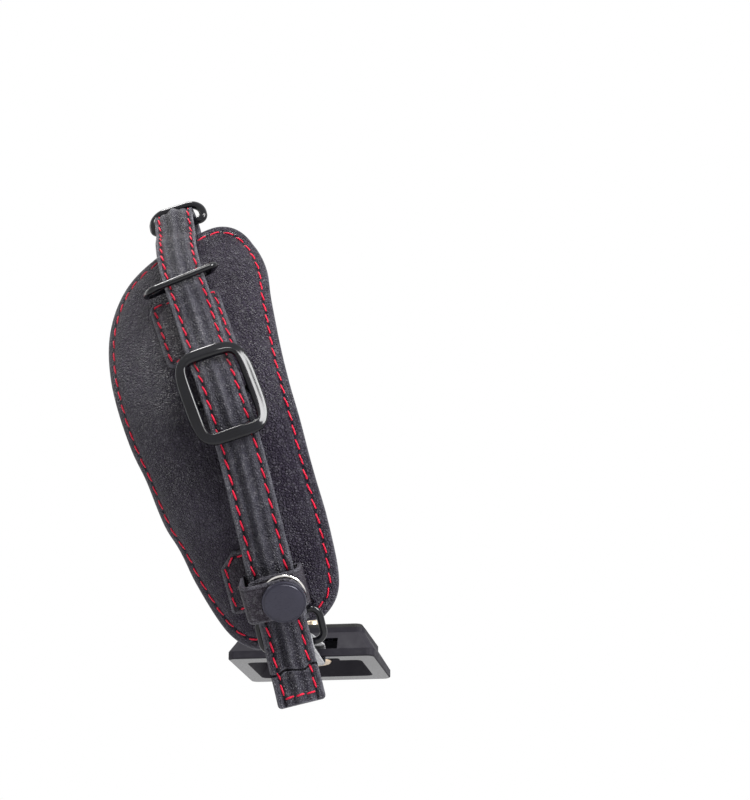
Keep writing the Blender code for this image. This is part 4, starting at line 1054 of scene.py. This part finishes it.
def build_snap():
    centre, forward, side, out = snap_frame()
    matrix = axes(side, -forward, out, centre - out * TAB_FLAP)
    seat = TAB_FLAP + TAB_LEATHER + SEAM
    profile = [(0.0, seat + 2.35)]
    for degrees in range(6, CAP_DOME, 5):
        angle = math.radians(degrees)
        reach = 6.35 * math.sin(angle) / math.sin(math.radians(CAP_DOME))
        profile.append((reach, seat + 0.95 + 1.4 * math.cos(angle) ** 1.2))
    profile += [(6.25, seat + 1.25), (6.4, seat + 1.18), (6.6, seat + 1.25), (6.85, seat + 1.15)]
    profile += [(7.0, seat + 0.85), (7.0, seat + 0.35), (6.85, seat + 0.08), (6.6, seat - 0.05)]
    profile += [(1.5, seat - 0.05), (1.5, TAB_FLAP - SEAM - 0.3), (0.0, TAB_FLAP - SEAM - 0.3)]
    lathe("snap_cap_disc", profile, matrix, CAP_SATIN, "snap_cap")
    top = TAB_FLAP - SEAM
    low = top - SOCKET
    profile = [(0.0, top - 0.9), (2.3, top - 0.9), (2.3, top - 0.1), (2.6, top), (5.0, top)]
    profile += [(5.4, top - 0.15), (5.6, top - 0.5), (5.6, low + 0.45), (5.45, low + 0.15), (5.1, low)]
    profile += [(2.3, low), (2.3, low + 0.6), (0.0, low + 0.6)]
    lathe("snap_socket_ring", profile, matrix, BRIGHT, "snap_socket")
    low = TAB_BACK + TAB_LEATHER + SEAM
    top = low + STUD_DISC
    profile = [(0.0, top + 1.3), (1.4, top + 1.3), (1.8, top + 1.15), (2.0, top + 0.85), (1.75, top)]
    profile += [(6.5, top), (6.85, top - 0.12), (7.0, top - 0.35), (6.9, low + 0.15), (6.6, low), (0.0, low)]
    lathe("snap_stud_disc", profile, matrix, BRIGHT, "snap_stud")


# Metal

TOP_WIRE = 2.8
TOP_RING_CLEAR = 0.9
TOP_RING_LENGTH = 7.6
TOP_RING_ACROSS = 0.5
TOP_RING_LIFT = math.radians(20.0)
LOWER_RING_TILT = math.radians(3.0)
KEEPER_WIRE = 2.2
KEEPER_PLACE = 52.0
KEEPER_HEIGHT = 5.0
KEEPER_OVERHANG = 4.0
KEEPER_ACROSS = -1.0
KEEPER_SKEW = 14.0
KEEPER_LEAN = math.radians(36.0)
BUCKLE_PLACE = 101.5
BUCKLE_ACROSS = -0.3
BUCKLE_HEIGHT = 9.0
BUCKLE_WIDTH = 25.0
BUCKLE_LENGTH = 33.5
BUCKLE_BAR = 4.2
BUCKLE_THICK = 3.2
BUCKLE_BOW = 1.2
BUCKLE_FACET = 0.55
BAR_RADIUS = 1.2
BAR_HEIGHT = 5.0


def top_ring_matrix():
    """Placement of the top ring: Y points from the bar inside the strap's fold to the far bar."""
    forward, side, out = LINE.frame(STRAP_FOLD)
    inset = FOLD_RADIUS - TOP_WIRE / 2 - GAP
    bar = LINE.at(STRAP_FOLD) + out * (GAP - FOLD_RADIUS) - forward * inset + side * TOP_RING_ACROSS
    away = out * math.sin(TOP_RING_LIFT) - forward * math.cos(TOP_RING_LIFT)
    return axes(side, away, side.cross(away), bar + away * TOP_RING_LENGTH / 2)


def lower_ring_matrix():
    forward, side, out = LINE.frame(UNDER_END)
    tilt = Matrix.Rotation(LOWER_RING_TILT, 3, side)
    forward = tilt @ forward
    return axes(side, -forward, tilt @ out, ring_hub() + forward * LOWER_RING_LENGTH / 2)


def build_rings():
    width = STRAP_TOP_WIDTH + 2 * TOP_RING_CLEAR + TOP_WIRE
    outline = rounded_outline(width, TOP_RING_LENGTH, 5.0, low_corner=1.7)
    wire_loop("top_ring_wire", outline, TOP_WIRE, top_ring_matrix(), "top_ring")
    straight = strap_width(UNDER_END) - 2 * UNDER_NARROWER + 2 * GAP
    outline = rounded_outline(straight + 6.0, LOWER_RING_LENGTH, 3.0)
    wire_loop("lower_ring_wire", outline, LOWER_WIRE, lower_ring_matrix(), "lower_ring")
    low = GAP + KEEPER_WIRE / 2
    high = KEEPER_HEIGHT + STRAP_THICK + RIDGE + GAP + KEEPER_WIRE / 2
    width = strap_width(KEEPER_PLACE) + 2 * KEEPER_OVERHANG + KEEPER_WIRE
    outline = rounded_outline(width, (high - low) / math.cos(KEEPER_LEAN), 2.6)
    middle = KEEPER_PLACE + (high - low) / 2 * math.tan(KEEPER_LEAN)
    matrix = local_matrix(KEEPER_ACROSS, middle, (low + high) / 2, KEEPER_SKEW)
    upright = Matrix.Rotation(math.radians(90.0) + KEEPER_LEAN, 4, "X")
    wire_loop("keeper_wire", outline, KEEPER_WIRE, matrix @ upright, "wire_keeper")


def bowed(c, s, power):
    """Point of a rounded box of half size one in a direction. Its sides bow out more for a lower power."""
    grow = (abs(c) ** power + abs(s) ** power) ** (-1.0 / power)
    return c * grow, s * grow


def pillow(width, length, power):
    """Rounded box with bowed sides, as a closed list of points."""
    shares = [bowed(c, s, power) for c, s in circle(200)]
    return [Vector((width / 2 * x, length / 2 * y, 0.0)) for x, y in shares]


def build_buckle():
    """Cast slider: a bowed frame and the low bar that the long strap rides over."""
    half = (BUCKLE_WIDTH - BUCKLE_BAR) / 2
    matrix = local_matrix(BUCKLE_ACROSS, BUCKLE_PLACE, BUCKLE_HEIGHT)
    stations = []
    opening = pillow(BUCKLE_WIDTH - 2 * BUCKLE_BAR, BUCKLE_LENGTH - 2 * BUCKLE_BAR, 9.0)
    for outer, inner in zip(pillow(BUCKLE_WIDTH, BUCKLE_LENGTH, 3.8), opening):
        middle = (outer + inner) / 2
        aside = (outer - inner) / 2
        sink = BUCKLE_BOW * (middle.x / half) ** 2
        ring = []
        for c, s in circle(48):
            x, y = bowed(c, s, 3.6 if c > 0 else 2.3)
            aslant = BUCKLE_FACET * max(0.0, x + 0.45) if s > 0 else 0.0
            rise = (y - aslant * s) * BUCKLE_THICK / 2
            ring.append(matrix @ (middle + aside * x + Vector((0.0, 0.0, rise - sink))))
        stations.append(ring)
    sweep("buckle_frame", stations, BLACK_GLOSS, ("buckle",), closed=True, smooth_angle=80.0)
    low = BAR_HEIGHT - BUCKLE_HEIGHT
    middle = ((-half, -BUCKLE_BOW), (1.2 - half, low * 0.45), (1.9 - half, low), (0.0, low))
    middle += tuple((-x, z) for x, z in middle[2::-1])
    bar = [catmull([(x, 0.0, z) for x, z in middle], k / 8) for k in range(8 * (len(middle) - 1) + 1)]
    stations = []
    for k, point in enumerate(bar):
        run = (bar[min(k + 1, len(bar) - 1)] - bar[max(k - 1, 0)]).normalized()
        turn = [Vector((-run.z * s, c, run.x * s)) * BAR_RADIUS for c, s in circle(18)]
        stations.append([matrix @ (point + offset) for offset in turn])
    sweep("buckle_centre_bar", stations, BLACK_GLOSS, smooth_angle=80.0)


# Webbing

PLATE_LOW = -12.5
PLATE_HALF = 23.0
RIM_BAR = 3.6
FLANGE = 2.8
# The cloth stands left of its solid, by 2.0 in the slot and 0.7 on the ring, to show the brass disc.
CLOTH_IN_SLOT = 3.0
CLOTH_ON_RING = 0.8
CLOTH_HALF = 5.25
CLOTH_THICK = 1.3
RIB_COLUMNS = 3


def build_webbing():
    """Sewn loop of webbing with ribs standing out, round the lower ring and the plate's rim bar."""
    ring_frame = lower_ring_matrix()
    upper = ring_frame @ Vector((CLOTH_ON_RING, -LOWER_RING_LENGTH / 2, 0.0))
    lower = Vector((SCREW_PLACE + CLOTH_IN_SLOT, RIM_BAR / 2 - PLATE_HALF, PLATE_LOW + FLANGE / 2))
    run = (lower - upper).normalized()
    centres = []
    for centre, side, start, inner in (
        (upper, ring_frame.col[0].xyz, 90.0, LOWER_WIRE / 2),
        (lower, Vector((1.0, 0.0, 0.0)), -90.0, math.hypot(RIM_BAR, FLANGE) / 2),
    ):
        away = (run - run.dot(side) * side).normalized()
        normal = away.cross(side)
        for turn in spread(start, start + 180.0, 5.0):
            angle = math.radians(turn)
            lean = normal * math.sin(angle) + away * math.cos(angle)
            centres.append((centre + lean * (inner + GAP + CLOTH_THICK / 2), side, lean))
    filled = []
    for here, after in zip(centres, centres[1:] + centres[:1]):
        steps = max(1, round((after[0] - here[0]).length / 0.30))
        for m in range(steps):
            point, side, lean = (a.lerp(b, m / steps) for a, b in zip(here, after))
            filled.append((point, side.normalized(), lean.normalized()))
    stations = []
    columns = 30
    for k, (point, side, lean) in enumerate(filled):
        ring = []
        for face, order in ((-1, range(columns + 1)), (1, range(columns, -1, -1))):
            for m in order:
                across = -CLOTH_HALF + 2 * CLOTH_HALF * m / columns
                near = CLOTH_HALF - abs(across)
                phase = k / 4.0 + (m // RIB_COLUMNS) * 0.5
                rib = 0.10 * math.cos(2 * math.pi * phase) * min(near / 0.6, 1.0)
                height = 0.60 - fillet(near, 0.8, 0.35) + (rib if face > 0 else 0.0)
                ring.append(point + side * across + lean * face * height)
        stations.append(ring)
    sweep("webbing_loop_cloth", stations, WEBBING_CLOTH, ("webbing_loop",), closed=True)


# Carried-over nodes


def dress(node, material, bevel=0.0):
    """Material for a node that keeps its own shape, with softened edges where asked."""
    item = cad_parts[node]
    item.data.materials.clear()
    item.data.materials.append(material)
    for polygon in item.data.polygons:
        polygon.material_index = 0
    weld = item.modifiers.new("weld", "WELD")
    weld.merge_threshold = 0.000002
    if bevel:
        soften = item.modifiers.new("soften", "BEVEL")
        soften.width = bevel * MM
        soften.segments = 2
        soften.limit_method = "ANGLE"
        soften.angle_limit = math.radians(35.0)


dress("base_plate", PLASTIC, 0.25)
dress("seat_pad", RUBBER, 0.15)
dress("camera_screw", BRASS, 0.12)
dress("screw_clip", BLACK_GLOSS)
dress("snap_eyelet", BLACK_GLOSS)

build_pad()
build_patch("upper_patch_leather", "upper_patch", 57.0, 84.0, 13.0, 10.5, 0.0, 3.0)
build_patch("lower_patch_leather", "lower_patch", 149.1, 169.6, 16.0, 7.0, 5.0, 1.5)
build_long_strap()
build_under_strap()
build_tab()
build_snap()
build_rings()
build_buckle()
build_webbing()


# Stage

FLOOR_LEVEL = -300
FLOOR_REACH = 30000
LAMP_TARGET = Vector((0.0, -0.10, 0.05))
SKY_LIGHT = 0.45


def add_light(name, where, size, power, tint):
    lamp = bpy.data.lights.new(name, "AREA")
    lamp.shape = "RECTANGLE"
    lamp.size, lamp.size_y = size
    lamp.energy = power
    lamp.color = tint
    made = linked(name, lamp)
    made.location = where
    made.rotation_euler = (LAMP_TARGET - Vector(where)).to_track_quat("-Z", "Y").to_euler()


def build_stage():
    """Pale floor, which glows white further off and keeps the shadow near the strap, lamps and sky."""
    square = ((-1, -1), (1, -1), (1, 1), (-1, 1))
    corners = [(x * FLOOR_REACH, y * FLOOR_REACH, FLOOR_LEVEL) for x, y in square]
    floor = linked("floor", mesh_of("floor", corners, [(0, 1, 2, 3)]))
    pale = Shade("pale_floor")
    tone = pale.blend(pale.noise(6.0, 3.0), rgb(0.86, 0.86, 0.86), rgb(0.90, 0.90, 0.90))
    pale.set(Base_Color=tone, Roughness=0.85)
    glow = pale.add("ShaderNodeEmission", {"Color": rgb(1.0, 1.0, 1.0), "Strength": 1.0}).outputs[0]
    distance = pale.add("ShaderNodeVectorMath", {0: pale.spot}, operation="LENGTH").outputs["Value"]
    share = pale.maths("MULTIPLY", pale.seen_ray(), pale.spread(distance, 0.5, 2.0, 0.5, 1.0))
    mixed = pale.add("ShaderNodeMixShader", {0: share, 1: pale.shader.outputs[0], 2: glow}).outputs[0]
    output = next(node for node in pale.tree.nodes if node.type == "OUTPUT_MATERIAL")
    pale.put(output.inputs["Surface"], mixed)
    floor.data.materials.append(pale.material)

    add_light("overhead", (-0.36, -0.06, 1.12), (0.28, 0.22), 8.8, (1.0, 0.99, 0.98))
    add_light("key", (0.22, -0.74, 0.72), (0.22, 0.22), 4.5, (1.0, 0.99, 0.97))
    add_light("right_box", (0.66, -0.50, 0.48), (0.30, 0.60), 15.5, (1.0, 1.0, 1.0))
    add_light("left_rim", (-0.85, 0.05, 0.35), (0.12, 0.7), 2.0, (0.97, 0.98, 1.0))

    world = bpy.data.worlds.new("studio")
    bpy.context.scene.world = world
    world.use_nodes = True
    sky = Nodes(world.node_tree)
    back = sky.tree.nodes["Background"]
    sky.put(back.inputs["Color"], rgb(1.0, 1.0, 1.0))
    sky.put(back.inputs["Strength"], sky.spread(sky.seen_ray(), 0.0, 1.0, SKY_LIGHT, 1.0))
    bpy.context.scene.view_settings.view_transform = "Standard"


def build_camera():
    turn = math.radians(AZIMUTH)
    rise = math.radians(UPWARD)
    right = Vector((math.cos(turn), math.sin(turn), 0.0))
    ahead = Vector((-math.sin(turn) * math.cos(rise), math.cos(turn) * math.cos(rise), math.sin(rise)))
    lens = bpy.data.cameras.new("camera")
    lens.lens = LENS
    lens.sensor_width = SENSOR
    lens.sensor_fit = "HORIZONTAL"
    lens.clip_start = 0.05
    camera = linked("camera", lens)
    camera.matrix_world = axes(right, right.cross(ahead), -ahead, Vector(EYE) * MM)
    bpy.context.scene.camera = camera


build_stage()
build_camera()
